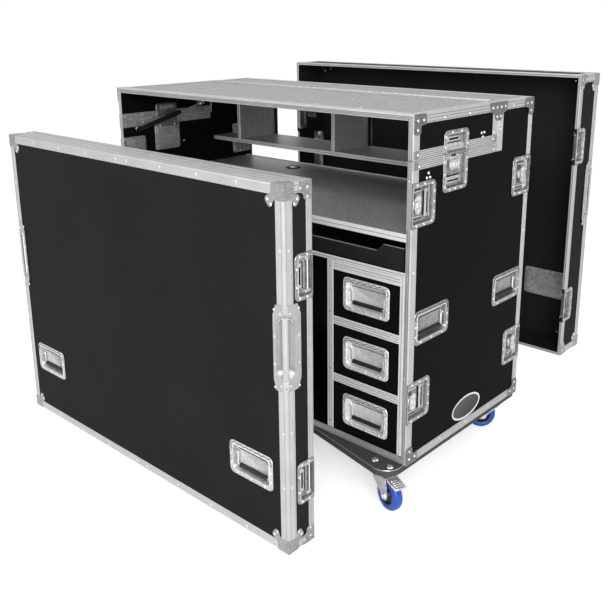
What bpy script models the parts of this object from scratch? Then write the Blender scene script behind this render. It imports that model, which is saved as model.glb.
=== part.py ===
# Rolling rack case with a worktop, drawers, a hinged lid and two lift-off covers.
# Metres, +Z up, front towards -Y. The origin is the centre of the wheel board's underside.
import math

import bmesh
import bpy
from mathutils import Matrix, Vector

# Clearances, and how far pieces of one body run into each other
GAP = 0.0003
PART_GAP = 0.0005
SLIDE_GAP = 0.002
JOIN = 0.001
SEAT = 0.0005

# Case body
CASE_WIDTH = 1.350
CASE_DEPTH = 0.660
CASE_HEIGHT = 1.040
PANEL = 0.009
EDGE_WALL = 0.0015
SIDE_LEG = 0.028
FRONT_LEG = 0.025
BRACKET = 0.0025
BRACKET_LEG = 0.052
BRACKET_WIDTH = 0.030

# Wheel board
BOARD_THICKNESS = 0.0207
LOBE_RADIUS = 0.052
LOBE_INSET = 0.062
LOBE_RUN = 0.322
LOBE_OVERHANG = 0.013
LOBE_X = CASE_WIDTH / 2 - LOBE_INSET
LOBE_Y = -CASE_DEPTH / 2 - LOBE_OVERHANG
LOBE_START_X = LOBE_X - LOBE_RUN
LOBE_TURN_FROM = -104.0
LOBE_STEPS = 6

# Lid, heights above the case's bottom
LID_HEIGHT = 0.125
PART_HEIGHT = CASE_HEIGHT - LID_HEIGHT
BAND = 0.026
ARM = 0.030
FIXED_TOP = 0.220
HINGE_Y = CASE_DEPTH / 2 - FIXED_TOP
HINGE_STRIP = 0.024
KNUCKLE_RADIUS = 0.003
HINGE_RISE = 0.0015
LEAF = 0.0012
LEAF_WIDTH = 0.017
PIN_RADIUS = 0.0013
KNUCKLE_BORE = 0.0016
KNUCKLE_LENGTH = 0.185

# Inner boards; their tops are heights above the case's bottom
BOARD = 0.018
WORKTOP_SPACE = 0.205
WORKTOP_TOP = PART_HEIGHT - WORKTOP_SPACE
WORKTOP_EDGE = 0.024
TRAY_SPACE = 0.112
TRAY_SHELF_TOP = WORKTOP_TOP - TRAY_SPACE
TRAY_SHELF_BOARD = 0.014
BACK_INSET = 0.018
INNER_BACK = CASE_DEPTH / 2 - BACK_INSET
RACK_SHELF_RISE = 0.106
RACK_SHELF_TOP = WORKTOP_TOP + RACK_SHELF_RISE
RACK_SHELF_BOARD = 0.016
RACK_SETBACK = 0.008
RACK_FRONT = HINGE_Y + RACK_SETBACK
SIDE_BAY = 0.171
RACK_UPRIGHT_X = CASE_WIDTH / 2 - SIDE_BAY
RACK_UPRIGHT = 0.016
BAY_DIVIDER_X = -0.152
GROMMET_X = -0.291
GROMMET_SETBACK = 0.104
GROMMET_PLACE = (GROMMET_X, INNER_BACK - GROMMET_SETBACK)
GROMMET_RADIUS = 0.030
GROMMET_HEIGHT = 0.003

# Rack rails; between their faces each bay is 451 mm clear
RAIL_DEPTH = 0.024
RAIL_WALL = 0.002
LOWER_RAIL_SETBACK = 0.080
OUTER_RAIL_INSET = 0.020
OUTER_RAIL_FACE = 0.016
MIDDLE_RAIL_FACE = 0.029
UPPER_RAIL_FACE = 0.0185

# Drawers and tray
DRAWER_COUNT = 3
DRAWER_FIRST = 0.028
DRAWER_PITCH = (TRAY_SHELF_TOP - DRAWER_FIRST) / DRAWER_COUNT
DRAWER_RAIL = 0.028
DRAWER_OPENING = DRAWER_PITCH - DRAWER_RAIL
FRAME_INSET = 0.021
FRAME_WIDTH = 0.288
FRAME_LEFT_BAR = 0.025
FRAME_RIGHT_BAR = 0.014
FRAME_RIGHT = CASE_WIDTH / 2 - FRAME_INSET
FRAME_LEFT = FRAME_RIGHT - FRAME_WIDTH
DRAWER_LEFT = FRAME_LEFT + FRAME_LEFT_BAR
DRAWER_RIGHT = FRAME_RIGHT - FRAME_RIGHT_BAR
FRAME_DEPTH = 0.016
CABINET_WALL = 0.012
DRAWER_FRONT = 0.015
DRAWER_BOARD = 0.009
DRAWER_DEPTH = 0.450
DRAWER_BOX_HEIGHT = 0.110
DRAWER_BOX_SIDE = 0.012
RUNNER_HEIGHT = 0.036
TRAY_RISE = 0.044
TRAY_STEP = 0.022
TRAY_END = 0.125
TRAY_TOP = TRAY_SHELF_TOP + TRAY_RISE
TRAY_END_TOP = TRAY_TOP + TRAY_STEP
TRAY_STEP_X = CASE_WIDTH / 2 - TRAY_END
TRAY_STEP_RUN = 0.022
TRAY_BOARD = 0.009
TRAY_LIP = 0.012
TRAY_DEPTH = 0.420

# Recessed latches
PLATE = 0.0012
LATCH_RECESS = 0.016
LATCH_LENGTH = 0.112
LATCH_HEIGHT = 0.128
KEEPER_LENGTH = 0.066
LATCH_FLANGE = 0.013
LATCH_MOUTH = 0.003
LOWER_LATCH = 0.198
UPPER_LATCH_DROP = 0.125
LATCH_HEIGHTS = (LOWER_LATCH, PART_HEIGHT - UPPER_LATCH_DROP)
LATCH_SPACING = 0.035
LID_LATCH_Y = LATCH_LENGTH + LATCH_SPACING + LATCH_HEIGHT / 2 - CASE_DEPTH / 2
WING_PIVOT = 0.035
WING_RADIUS = 0.028
WING_WAIST = 0.0105
WING_BOSS = 0.009
WING_TOP = -0.002
WING_THICKNESS = 0.004

# Recessed handles
HANDLE_WIDTH = 0.175
HANDLE_HEIGHT = 0.105
HANDLE_FLANGE = 0.014
HANDLE_RECESS = 0.017
PAN_TAPER = 0.002
PAN_CHAMFER = 0.008
FLANGE_CHAMFER = 0.014
BAIL_AXIS_DEPTH = 0.0085
BAIL_AXIS_UP = 0.012
BAIL_LEG = 0.038
BAIL_INSET = 0.0235
BAIL_HALF = HANDLE_WIDTH / 2 - BAIL_INSET
BAIL_ROD = 0.003
GRIP_RADIUS = 0.0065
GRIP_INSET = 0.012
GRIP_HALF = BAIL_HALF - GRIP_INSET
HANDLE_LAP = 0.0025
SIDE_HANDLE_Y = CASE_DEPTH / 2 - SIDE_LEG + HANDLE_LAP - HANDLE_WIDTH / 2
SIDE_HANDLE_Z = 0.425

# Badge
BADGE_LENGTH = 0.166
BADGE_HEIGHT = 0.080
BADGE_Z = 0.070

# Gas struts, heights above the case's bottom
STRUT_SETBACK = 0.068
STRUT_DROP = 0.034
STRUT_RISE = 0.042
STRUT_FOOT = (STRUT_SETBACK - CASE_DEPTH / 2, PART_HEIGHT - STRUT_DROP)
STRUT_HEAD = (HINGE_Y - STRUT_SETBACK, PART_HEIGHT + STRUT_RISE)
STRUT_INSET = 0.020
STRUT_TUBE_RADIUS = 0.009
STRUT_ROD_RADIUS = 0.004
STRUT_TUBE_LENGTH = 0.200
STRUT_ROD_START = 0.035
STUD_RADIUS = 0.005

# Casters
CASTER_HEIGHT = 0.122
CASTER_INSET = 0.070
CASTER_OVERHANG = 0.015
REAR_CASTER_INSET = 0.040
CASTER_X = CASE_WIDTH / 2 - CASTER_INSET
CASTER_FRONT_Y = -CASE_DEPTH / 2 - CASTER_OVERHANG
CASTER_REAR_Y = CASE_DEPTH / 2 - REAR_CASTER_INSET
CASTER_PLATE = (0.095, 0.070, 0.004)
CASTER_PLATE_CHAMFER = 0.014
RACE_RADIUS = 0.022
RACE_HEIGHT = 0.008
WHEEL_RADIUS = 0.050
WHEEL_WIDTH = 0.032
HUB_RADIUS = 0.036
AXLE_RADIUS = 0.005
AXLE_CLEARANCE = 0.0005
TRAIL = 0.035
FORK_WALL = 0.003
FORK_INNER = 0.040
FORK_CROWN = 0.004
FORK_BACK = 0.030
FORK_FRONT = 0.042
FORK_FOOT = 0.014
NUT_RADIUS = 0.008
NUT_HEIGHT = 0.005
PEDAL_LENGTH = 0.050
PEDAL_WIDTH = 0.040
PEDAL_THICKNESS = 0.006
PEDAL_DROP = 0.012
FRONT_HEADING = -17.0
REAR_HEADING = 222.0

# Covers
FRONT_COVER_DEPTH = 0.104
REAR_COVER_DEPTH = 0.151
COVER_SIDE_LEG = 0.032
COVER_FACE_LEG = 0.029
RIM = 0.022
RIM_BRACKET_LEG = 0.050
COVER_HANDLE_INSET = 0.145
COVER_HANDLE_X = CASE_WIDTH / 2 - COVER_HANDLE_INSET
COVER_HANDLE_Z = 0.222
CORNER_HANDLE_LENGTH = 0.238
CORNER_HANDLE_Z = LATCH_HEIGHTS[1] - (LATCH_HEIGHT + CORNER_HANDLE_LENGTH) / 2 - PART_GAP
CORNER_HANDLE_FACE = 0.045
CORNER_HANDLE_SIDE = 0.058
CORNER_HANDLE_MARGIN = 0.010
CORNER_SLOT = 0.170
CORNER_SLOT_WIDTH = 0.022
CORNER_GRIP = 0.012
FRONT_COVER_X = -0.110
FRONT_COVER_AWAY = 0.280
FRONT_COVER_Y = -CASE_DEPTH / 2 - FRONT_COVER_AWAY
REAR_COVER_X = 0.033
REAR_COVER_AWAY = 0.273
REAR_COVER_Y = CASE_DEPTH / 2 + REAR_COVER_AWAY
REAR_COVER_LIFT = 0.055

# Places worked out from the sizes above
HALF_X = CASE_WIDTH / 2
HALF_Y = CASE_DEPTH / 2
BOTTOM = BOARD_THICKNESS + GAP
TOP = BOTTOM + CASE_HEIGHT
FLOOR = -CASTER_HEIGHT
SKIN = EDGE_WALL + GAP
LIP = SKIN + PANEL
INNER_X = HALF_X - LIP
FLOOR_TOP = BOTTOM + LIP
FACE_Y = -HALF_Y + SKIN
PART_Z = BOTTOM + PART_HEIGHT
HINGE_Z = TOP + HINGE_RISE
HINGE_CLEAR = KNUCKLE_RADIUS + PART_GAP
SEATED_X = HALF_X - SEAT
TRAY_HALF = HALF_X - FRONT_LEG - SLIDE_GAP

MATERIALS = {
    "black_board": ((0.012, 0.012, 0.012), 0.0, 0.55),
    "silver_laminate": ((0.42, 0.42, 0.42), 0.5, 0.4),
    "extrusion": ((0.62, 0.62, 0.62), 1.0, 0.35),
    "stamped_steel": ((0.50, 0.50, 0.50), 1.0, 0.3),
    "black_steel": ((0.02, 0.02, 0.02), 0.6, 0.45),
    "black_plastic": ((0.015, 0.015, 0.015), 0.0, 0.5),
    "blue_tyre": ((0.02, 0.09, 0.65), 0.0, 0.4),
    "wheel_board": ((0.06, 0.06, 0.06), 0.0, 0.6),
}


def clear_scene():
    for item in list(bpy.data.objects):
        bpy.data.objects.remove(item)


def finish_material(name):
    color, metallic, roughness = MATERIALS[name]
    material = bpy.data.materials.new(name)
    material.use_nodes = True
    shader = material.node_tree.nodes["Principled BSDF"]
    shader.inputs["Base Color"].default_value = (*color, 1.0)
    shader.inputs["Metallic"].default_value = metallic
    shader.inputs["Roughness"].default_value = roughness
    material.diffuse_color = (*color, 1.0)
    return material


def to_object(name, shape):
    bmesh.ops.recalc_face_normals(shape, faces=shape.faces)
    mesh = bpy.data.meshes.new(name)
    shape.to_mesh(mesh)
    shape.free()
    item = bpy.data.objects.new(name, mesh)
    bpy.context.scene.collection.objects.link(item)
    return item


def make_node(name, shape, finish, place=None, parent=None, smooth=False):
    item = to_object(name, shape)
    item.data.materials.append(finish_material(finish))
    if smooth:
        item.data.shade_smooth()
        item.data.set_sharp_from_angle(angle=math.radians(35))
    item.parent = parent
    if place is not None:
        item.matrix_local = place
    return item


def make_anchor(name, place):
    anchor = bpy.data.objects.new(name, None)
    bpy.context.scene.collection.objects.link(anchor)
    anchor.matrix_world = place
    return anchor


def combine(base, other, operation="DIFFERENCE"):
    pair = [to_object("base", base), to_object("other", other)]
    modifier = pair[0].modifiers.new("combine", "BOOLEAN")
    modifier.operation = operation
    modifier.object = pair[1]
    bpy.context.view_layer.update()
    evaluated = pair[0].evaluated_get(bpy.context.evaluated_depsgraph_get())
    result = bmesh.new()
    result.from_mesh(evaluated.to_mesh())
    for item in pair:
        bpy.data.objects.remove(item)
    return result


def fuse(shape):
    # Joins the overlapping solids of one mesh into a single body
    item = to_object("parts", shape)
    seed = bmesh.new()
    item.data.calc_loop_triangles()
    first = item.data.loop_triangles[0]
    middle = sum((item.data.vertices[i].co for i in first.vertices), Vector()) / 3
    inside = middle - first.normal * SEAT
    bmesh.ops.create_cube(seed, size=SEAT / 2, matrix=Matrix.Translation(inside))
    other = to_object("seed", seed)
    modifier = item.modifiers.new("fuse", "BOOLEAN")
    modifier.operation = "UNION"
    modifier.use_self = True
    modifier.object = other
    bpy.context.view_layer.update()
    evaluated = item.evaluated_get(bpy.context.evaluated_depsgraph_get())
    result = bmesh.new()
    result.from_mesh(evaluated.to_mesh())
    bpy.data.objects.remove(item)
    bpy.data.objects.remove(other)
    return result


def add_box(shape, low, high):
    centre = [(a + b) / 2 for a, b in zip(low, high)]
    size = [abs(b - a) for a, b in zip(low, high)]
    matrix = Matrix.Translation(centre) @ Matrix.Diagonal((*size, 1.0))
    bmesh.ops.create_cube(shape, size=1.0, matrix=matrix)


def on_axis(axis, u, v, w):
    if axis == "X":
        return Vector((w, u, v))
    if axis == "Y":
        return Vector((u, w, v))
    return Vector((u, v, w))


def add_rings(shape, rings):
    # Skins a stack of rings with as many points each, and closes both ends
    rows = [[shape.verts.new(point) for point in ring] for ring in rings]
    count = len(rows[0])
    for lower, upper in zip(rows, rows[1:]):
        for i in range(count):
            j = (i + 1) % count
            shape.faces.new((lower[i], lower[j], upper[j], upper[i]))
    shape.faces.new(rows[0])
    shape.faces.new(rows[-1])


def add_prism(shape, outline, axis, start, end):
    add_rings(shape, [[on_axis(axis, u, v, w) for u, v in outline] for w in (start, end)])


def circle(radius, count, centre=(0.0, 0.0)):
    turns = [2 * math.pi * i / count for i in range(count)]
    return [(centre[0] + radius * math.cos(t), centre[1] + radius * math.sin(t)) for t in turns]


def add_turned(shape, profile, axis, count, centre=(0.0, 0.0)):
    # Profile points are (radius, place along the axis), from one closed end to the other
    rings = []
    for radius, along in profile:
        rings.append([on_axis(axis, u, v, along) for u, v in circle(radius, count, centre)])
    add_rings(shape, rings)


def add_angle(shape, axis, corner, legs, start, end, wall=EDGE_WALL):
    # An L section with its outer corner at corner and its legs pointing inwards
    u, v = corner
    a, b = legs
    s = math.copysign(wall, a)
    t = math.copysign(wall, b)
    outline = [(u, v), (u + a, v), (u + a, v + t), (u + s, v + t), (u + s, v + b), (u, v + b)]
    add_prism(shape, outline, axis, start, end)


def add_mirrored(shape):
    copied = bmesh.ops.duplicate(shape, geom=shape.verts[:] + shape.edges[:] + shape.faces[:])
    verts = [v for v in copied["geom"] if isinstance(v, bmesh.types.BMVert)]
    bmesh.ops.scale(shape, vec=(-1.0, 1.0, 1.0), verts=verts)


def face_frame(origin, normal):
    # Local X runs across, local Y up and local Z out of the face
    out = Vector(normal)
    up = Vector((0.0, 0.0, 1.0))
    across = up.cross(out)
    frame = Matrix((across, up, out)).transposed().to_4x4()
    return Matrix.Translation(origin) @ frame


def chamfered(rect, cut, depth):
    left, right, low, high = rect
    return [
        (left + cut, low, depth), (right - cut, low, depth),
        (right, low + cut, depth), (right, high - cut, depth),
        (right - cut, high, depth), (left + cut, high, depth),
        (left, high - cut, depth), (left, low + cut, depth),
    ]


def grown(rect, amount):
    left, right, low, high = rect
    return (left - amount, right + amount, low - amount, high + amount)


def add_pan(shape, frame, outer, pocket, recess):
    # A stamped dish: flange on the panel, tapered pocket through it
    floor = grown(pocket, -PAN_TAPER)
    rings = [
        chamfered(floor, PAN_CHAMFER, PLATE - recess),
        chamfered(pocket, PAN_CHAMFER, PLATE),
        chamfered(outer, FLANGE_CHAMFER, PLATE),
        chamfered(outer, FLANGE_CHAMFER, 0.0),
        chamfered(grown(pocket, PLATE), PAN_CHAMFER, 0.0),
        chamfered(grown(floor, PLATE), PAN_CHAMFER, -recess),
    ]
    add_rings(shape, [[frame @ Vector(point) for point in ring] for ring in rings])


def add_pan_hole(shape, frame, pocket, depth):
    # The hole that a dish's pocket goes through
    hole = grown(pocket, PLATE + PART_GAP)
    rings = [chamfered(hole, PAN_CHAMFER, level) for level in (-depth, PLATE + PART_GAP)]
    add_rings(shape, [[frame @ Vector(point) for point in ring] for ring in rings])


def handle_rects():
    outer = (-HANDLE_WIDTH / 2, HANDLE_WIDTH / 2, -HANDLE_HEIGHT / 2, HANDLE_HEIGHT / 2)
    return outer, grown(outer, -HANDLE_FLANGE)


def latch_rects(length, toward):
    # Measured from the joint edge; toward is the side on which the other half lies
    across = LATCH_HEIGHT / 2
    near, far = toward * 0.0, -toward * length
    mouth, inner = -toward * LATCH_MOUTH, -toward * (length - LATCH_FLANGE)
    outer = (min(near, far), max(near, far), -across, across)
    pocket = (min(mouth, inner), max(mouth, inner), LATCH_FLANGE - across, across - LATCH_FLANGE)
    return outer, pocket


def turned_rect(rect):
    left, right, low, high = rect
    return (low, high, left, right)


def sweep_rings(points, radii, sides):
    # A round rod along a path in the local XY plane, mitred at its bends
    normal = Vector((0.0, 0.0, 1.0))
    rings = []
    for i, point in enumerate(points):
        before = next((point - p for p in reversed(points[:i]) if (point - p).length > GAP), None)
        after = next((p - point for p in points[i + 1:] if (p - point).length > GAP), None)
        arrive = (before or after).normalized()
        leave = (after or before).normalized()
        tangent = (arrive + leave).normalized()
        side = normal.cross(tangent) / tangent.dot(arrive)
        ring = []
        for u, v in circle(radii[i], sides):
            ring.append(point + side * u + normal * v)
        rings.append(ring)
    return rings


def make_bail(name, frame, parent=None):
    # U-shaped bail with a thicker grip; its pivots lie on the object's own X axis
    reach = HANDLE_WIDTH / 2 - HANDLE_FLANGE - PAN_TAPER - GAP
    half = [
        (Vector((-reach, 0.0, 0.0)), BAIL_ROD),
        (Vector((-BAIL_HALF, 0.0, 0.0)), BAIL_ROD),
        (Vector((-BAIL_HALF, -BAIL_LEG, 0.0)), BAIL_ROD),
        (Vector((-GRIP_HALF, -BAIL_LEG, 0.0)), BAIL_ROD),
        (Vector((-GRIP_HALF, -BAIL_LEG, 0.0)), GRIP_RADIUS),
    ]
    other = [(Vector((-p.x, p.y, p.z)), r) for p, r in reversed(half)]
    stations = half + other
    shape = bmesh.new()
    add_rings(shape, sweep_rings([p for p, r in stations], [r for p, r in stations], 8))
    place = frame @ Matrix.Translation((0.0, BAIL_AXIS_UP, -BAIL_AXIS_DEPTH))
    return make_node(name, shape, "black_plastic", place, parent, smooth=True)


def make_wing(name, frame, across, up):
    # Butterfly wing on a round boss; it turns on the object's own Z axis
    count = 12
    boss_low = PLATE - LATCH_RECESS + GAP
    shape = bmesh.new()
    rings = []
    for radius, level in ((WING_BOSS, boss_low), (WING_BOSS, WING_TOP - WING_THICKNESS)):
        rings.append([(u, v, level) for u, v in circle(radius, count)])
    for level in (WING_TOP - WING_THICKNESS, WING_TOP):
        ring = []
        for i in range(count):
            turn = 2 * math.pi * i / count
            radius = WING_WAIST + (WING_RADIUS - WING_WAIST) * abs(math.sin(turn)) ** 1.5
            ring.append((radius * math.cos(turn), radius * math.sin(turn), level))
        rings.append(ring)
    add_rings(shape, rings)
    place = frame @ Matrix.Translation((across, up, 0.0))
    return make_node(name, shape, "stamped_steel", place, smooth=True)


def latch_frames():
    # Case sides' latch dishes: name, frame at the joint edge, which way the cover lies
    places = []
    for side, across in (("right", 1), ("left", -1)):
        for end, y in (("front", -HALF_Y), ("rear", HALF_Y)):
            for level, z in zip(("lower", "upper"), LATCH_HEIGHTS):
                frame = face_frame((across * SEATED_X, y, BOTTOM + z), (across, 0, 0))
                toward = across * (-1 if end == "front" else 1)
                places.append((f"{side}_{end}_{level}", frame, toward))
    return places


def lid_latch_frame(across):
    return face_frame((across * SEATED_X, LID_LATCH_Y, PART_Z), (across, 0, 0))


def side_handle_frames():
    places = []
    for side, across in (("right", 1), ("left", -1)):
        for end, y in (("front", -SIDE_HANDLE_Y), ("rear", SIDE_HANDLE_Y)):
            origin = (across * SEATED_X, y, BOTTOM + SIDE_HANDLE_Z)
            places.append((f"{side}_{end}", face_frame(origin, (across, 0, 0))))
    return places


def drawer_low(index):
    return BOTTOM + DRAWER_FIRST + index * DRAWER_PITCH


def drawer_handle_frame(index):
    middle = (DRAWER_LEFT + DRAWER_RIGHT) / 2
    height = drawer_low(index) + DRAWER_OPENING / 2
    return face_frame((middle, FACE_Y + SLIDE_GAP + SEAT, height), (0, -1, 0))


def case_holes():
    holes = bmesh.new()
    for _, frame, toward in latch_frames():
        add_pan_hole(holes, frame, latch_rects(LATCH_LENGTH, toward)[1], LATCH_RECESS + PANEL)
    for _, frame in side_handle_frames():
        add_pan_hole(holes, frame, handle_rects()[1], HANDLE_RECESS + PANEL)
    for across in (1, -1):
        pocket = turned_rect(latch_rects(LATCH_LENGTH, 1)[1])
        add_pan_hole(holes, lid_latch_frame(across), pocket, LATCH_RECESS + PANEL)
    return holes


def add_lower_rail(shape, start, end, low):
    # Rack rail of a lower bay, set back from its front; it stands at x start and faces end
    high = BOTTOM + TRAY_SHELF_TOP - TRAY_SHELF_BOARD - GAP
    corner = (start, FACE_Y + LOWER_RAIL_SETBACK)
    add_angle(shape, "Z", corner, (end - start, RAIL_DEPTH), low, high, RAIL_WALL)


def make_case_panels():
    # Floor, two sides and the fixed rear part of the top
    shape = bmesh.new()
    outer_y = HALF_Y - SKIN
    low = BOTTOM + SKIN
    high = TOP - SKIN
    step_z = PART_Z - PART_GAP - SKIN
    step_y = HINGE_Y + PART_GAP + SKIN
    outline = [(-outer_y, low), (outer_y, low), (outer_y, high), (step_y, high),
               (step_y, step_z), (-outer_y, step_z)]
    add_prism(shape, outline, "X", INNER_X, INNER_X + PANEL)
    add_mirrored(shape)
    inner = INNER_X + PANEL / 2
    add_box(shape, (-inner, -outer_y, low), (inner, outer_y, low + PANEL))
    top_front = HINGE_Y + HINGE_CLEAR + SKIN
    add_box(shape, (-inner, top_front, high - PANEL), (inner, outer_y, high))
    shape = combine(fuse(shape), case_holes())
    for across in (1, -1):
        add_stud(shape, across, STRUT_FOOT)
    rail = OUTER_RAIL_INSET - INNER_X
    add_lower_rail(shape, rail, rail + OUTER_RAIL_FACE, FLOOR_TOP - JOIN)
    make_node("case_panels", fuse(shape), "black_board")


def make_worktop():
    shape = bmesh.new()
    inner = INNER_X - GAP
    high = BOTTOM + WORKTOP_TOP
    add_box(shape, (-inner, FACE_Y + EDGE_WALL - SEAT, high - BOARD), (inner, INNER_BACK, high))
    add_box(shape, (-inner, FACE_Y, high - WORKTOP_EDGE), (inner, FACE_Y + EDGE_WALL, high))
    make_node("worktop", fuse(shape), "silver_laminate")
    grommet = bmesh.new()
    low = high + GAP
    add_prism(grommet, circle(GROMMET_RADIUS, 16, GROMMET_PLACE), "Z", low, low + GROMMET_HEIGHT)
    make_node("cable_grommet", grommet, "black_plastic")


def make_tray_shelf():
    # Board above the lower bays, with the tray's guides standing on it
    shape = bmesh.new()
    inner = INNER_X - GAP
    high = BOTTOM + TRAY_SHELF_TOP
    add_box(shape, (-inner, FACE_Y, high - TRAY_SHELF_BOARD), (inner, INNER_BACK, high))
    front = FACE_Y + FRAME_DEPTH
    for side in (-1, 1):
        ends = sorted((side * (TRAY_HALF + GAP), side * inner))
        add_box(shape, (ends[0], front, high - JOIN), (ends[1], front + TRAY_DEPTH, BOTTOM + TRAY_TOP))
    make_node("tray_shelf", fuse(shape), "black_board")


def make_bay_divider():
    shape = bmesh.new()
    left = BAY_DIVIDER_X - BOARD / 2
    right = BAY_DIVIDER_X + BOARD / 2
    low = FLOOR_TOP + GAP
    high = BOTTOM + TRAY_SHELF_TOP - TRAY_SHELF_BOARD - GAP
    add_box(shape, (left, FACE_Y, low), (right, INNER_BACK, high))
    add_lower_rail(shape, left + JOIN, left - OUTER_RAIL_FACE, low)
    add_lower_rail(shape, right - JOIN, right + MIDDLE_RAIL_FACE, low)
    make_node("bay_divider", fuse(shape), "black_board")


def make_rack_section():
    # Shelf of the upper bays with its uprights, and punched rails at the rear
    shape = bmesh.new()
    inner = INNER_X - GAP
    shelf = BOTTOM + RACK_SHELF_TOP
    ceiling = TOP - SKIN - PANEL - GAP
    half = RACK_UPRIGHT / 2
    add_box(shape, (-inner, RACK_FRONT, shelf - RACK_SHELF_BOARD), (inner, INNER_BACK, shelf))
    for x in (-RACK_UPRIGHT_X, 0.0, RACK_UPRIGHT_X):
        add_box(shape, (x - half, RACK_FRONT, shelf - JOIN), (x + half, INNER_BACK, ceiling))
    for start, inward in ((half - RACK_UPRIGHT_X, 1), (-half, -1), (half, 1), (RACK_UPRIGHT_X - half, -1)):
        corner = (start - inward * JOIN, INNER_BACK)
        legs = (inward * (UPPER_RAIL_FACE + JOIN), -RAIL_DEPTH)
        add_angle(shape, "Z", corner, legs, shelf - JOIN, ceiling, RAIL_WALL)
    make_node("rack_section", combine(fuse(shape), case_holes()), "silver_laminate")


def make_drawer_cabinet():
    # Face frame with a window for each drawer, the walls behind it and the drawers' runners
    frame = bmesh.new()
    low = FLOOR_TOP + GAP
    high = BOTTOM + TRAY_SHELF_TOP - TRAY_SHELF_BOARD - GAP
    back = FACE_Y + FRAME_DEPTH
    add_box(frame, (FRAME_LEFT, FACE_Y, low), (FRAME_RIGHT, back, high))
    windows = bmesh.new()
    for index in range(DRAWER_COUNT):
        sill = drawer_low(index)
        add_box(windows, (DRAWER_LEFT, FACE_Y - BOARD, sill),
                (DRAWER_RIGHT, back + BOARD, sill + DRAWER_OPENING))
    shape = combine(frame, windows)
    left = FRAME_LEFT + BOARD
    right = FRAME_RIGHT - CABINET_WALL
    wall_front = back - JOIN
    add_box(shape, (FRAME_LEFT, wall_front, low), (left, INNER_BACK, high))
    add_box(shape, (right, wall_front, low), (FRAME_RIGHT, INNER_BACK, high))
    start = FACE_Y + SLIDE_GAP + DRAWER_FRONT + GAP
    end = start + DRAWER_DEPTH
    box_left = DRAWER_LEFT + SLIDE_GAP + DRAWER_BOX_SIDE
    box_right = DRAWER_RIGHT - SLIDE_GAP
    for index in range(DRAWER_COUNT):
        middle = drawer_low(index) + SLIDE_GAP + DRAWER_BOX_HEIGHT / 2
        below = middle - RUNNER_HEIGHT / 2
        above = middle + RUNNER_HEIGHT / 2
        add_box(shape, (left - JOIN, start, below), (box_left - GAP, end, above))
        add_box(shape, (box_right + GAP, start, below), (right + JOIN, end, above))
    add_lower_rail(shape, FRAME_LEFT + JOIN, FRAME_LEFT - MIDDLE_RAIL_FACE, low)
    make_node("drawer_cabinet", fuse(shape), "extrusion")


def add_case_edges(shape):
    # Right side's edging; the left side is its mirror image
    low = BOTTOM + FRONT_LEG - JOIN
    high = TOP - FRONT_LEG + JOIN
    band_low = PART_Z - PART_GAP - BAND
    arm_front = HINGE_Y + PART_GAP
    ends = HALF_Y - SIDE_LEG + JOIN
    add_angle(shape, "Y", (HALF_X, BOTTOM), (-SIDE_LEG, SIDE_LEG), -ends, ends)
    add_angle(shape, "Z", (HALF_X, -HALF_Y), (-FRONT_LEG, SIDE_LEG), low, band_low + JOIN)
    add_angle(shape, "Z", (HALF_X, HALF_Y), (-FRONT_LEG, -SIDE_LEG), low, high)
    add_angle(shape, "Y", (HALF_X, PART_Z - PART_GAP), (-LIP, -BAND), -HALF_Y, arm_front + JOIN)
    add_box(shape, (HALF_X - EDGE_WALL, arm_front, band_low), (HALF_X, arm_front + ARM, PART_Z - PART_GAP))
    arm_low = PART_Z - PART_GAP - EDGE_WALL
    add_angle(shape, "Z", (HALF_X, arm_front), (-LIP, ARM), arm_low, TOP - EDGE_WALL)
    add_angle(shape, "Y", (HALF_X, TOP), (-SIDE_LEG, -SIDE_LEG), HINGE_Y + HINGE_CLEAR, ends)


def add_cross_edges(shape):
    # Edging that runs the whole width
    add_angle(shape, "X", (-HALF_Y, BOTTOM), (SIDE_LEG, FRONT_LEG), -HALF_X, HALF_X)
    add_angle(shape, "X", (HALF_Y, BOTTOM), (-SIDE_LEG, FRONT_LEG), -HALF_X, HALF_X)
    add_angle(shape, "X", (HALF_Y, TOP), (-SIDE_LEG, -FRONT_LEG), -HALF_X, HALF_X)
    across = HALF_X - SIDE_LEG + JOIN
    add_angle(shape, "X", (HINGE_Y + HINGE_CLEAR, TOP), (HINGE_STRIP, -EDGE_WALL - PANEL), -across, across)


def bracket_outline(corner, across, up, leg=BRACKET_LEG):
    # L-shaped plate with its outer corner at corner
    u, v = corner
    width = BRACKET_WIDTH
    points = [(0, 0), (leg, 0), (leg, width), (width, width), (width, leg), (0, leg)]
    return [(u + across * a, v + up * b) for a, b in points]


def make_case_metalwork():
    # Edging, corner brackets and the recessed dishes that are riveted over them
    shape = bmesh.new()
    add_case_edges(shape)
    add_mirrored(shape)
    add_cross_edges(shape)
    shape = combine(fuse(shape), case_holes())
    for _, frame, toward in latch_frames():
        outer, pocket = latch_rects(LATCH_LENGTH, toward)
        add_pan(shape, frame, outer, pocket, LATCH_RECESS)
    for across in (1, -1):
        outer, pocket = latch_rects(LATCH_LENGTH, 1)
        add_pan(shape, lid_latch_frame(across), turned_rect(outer), turned_rect(pocket), LATCH_RECESS)
    outer, pocket = handle_rects()
    for _, frame in side_handle_frames():
        add_pan(shape, frame, outer, pocket, HANDLE_RECESS)
    brackets = bmesh.new()
    for y, z, across, up in ((-HALF_Y, BOTTOM, 1, 1), (HALF_Y, BOTTOM, -1, 1), (HALF_Y, TOP, -1, -1)):
        outline = bracket_outline((y, z), across, up)
        add_prism(brackets, outline, "X", SEATED_X, SEATED_X + BRACKET)
    add_mirrored(brackets)
    merge_into(shape, brackets)
    make_node("case_metalwork", fuse(shape), "extrusion")


def merge_into(shape, other):
    mesh = bpy.data.meshes.new("merge")
    other.to_mesh(mesh)
    other.free()
    shape.from_mesh(mesh)
    bpy.data.meshes.remove(mesh)


def strut_x(across):
    return across * (INNER_X - STRUT_INSET)


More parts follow.
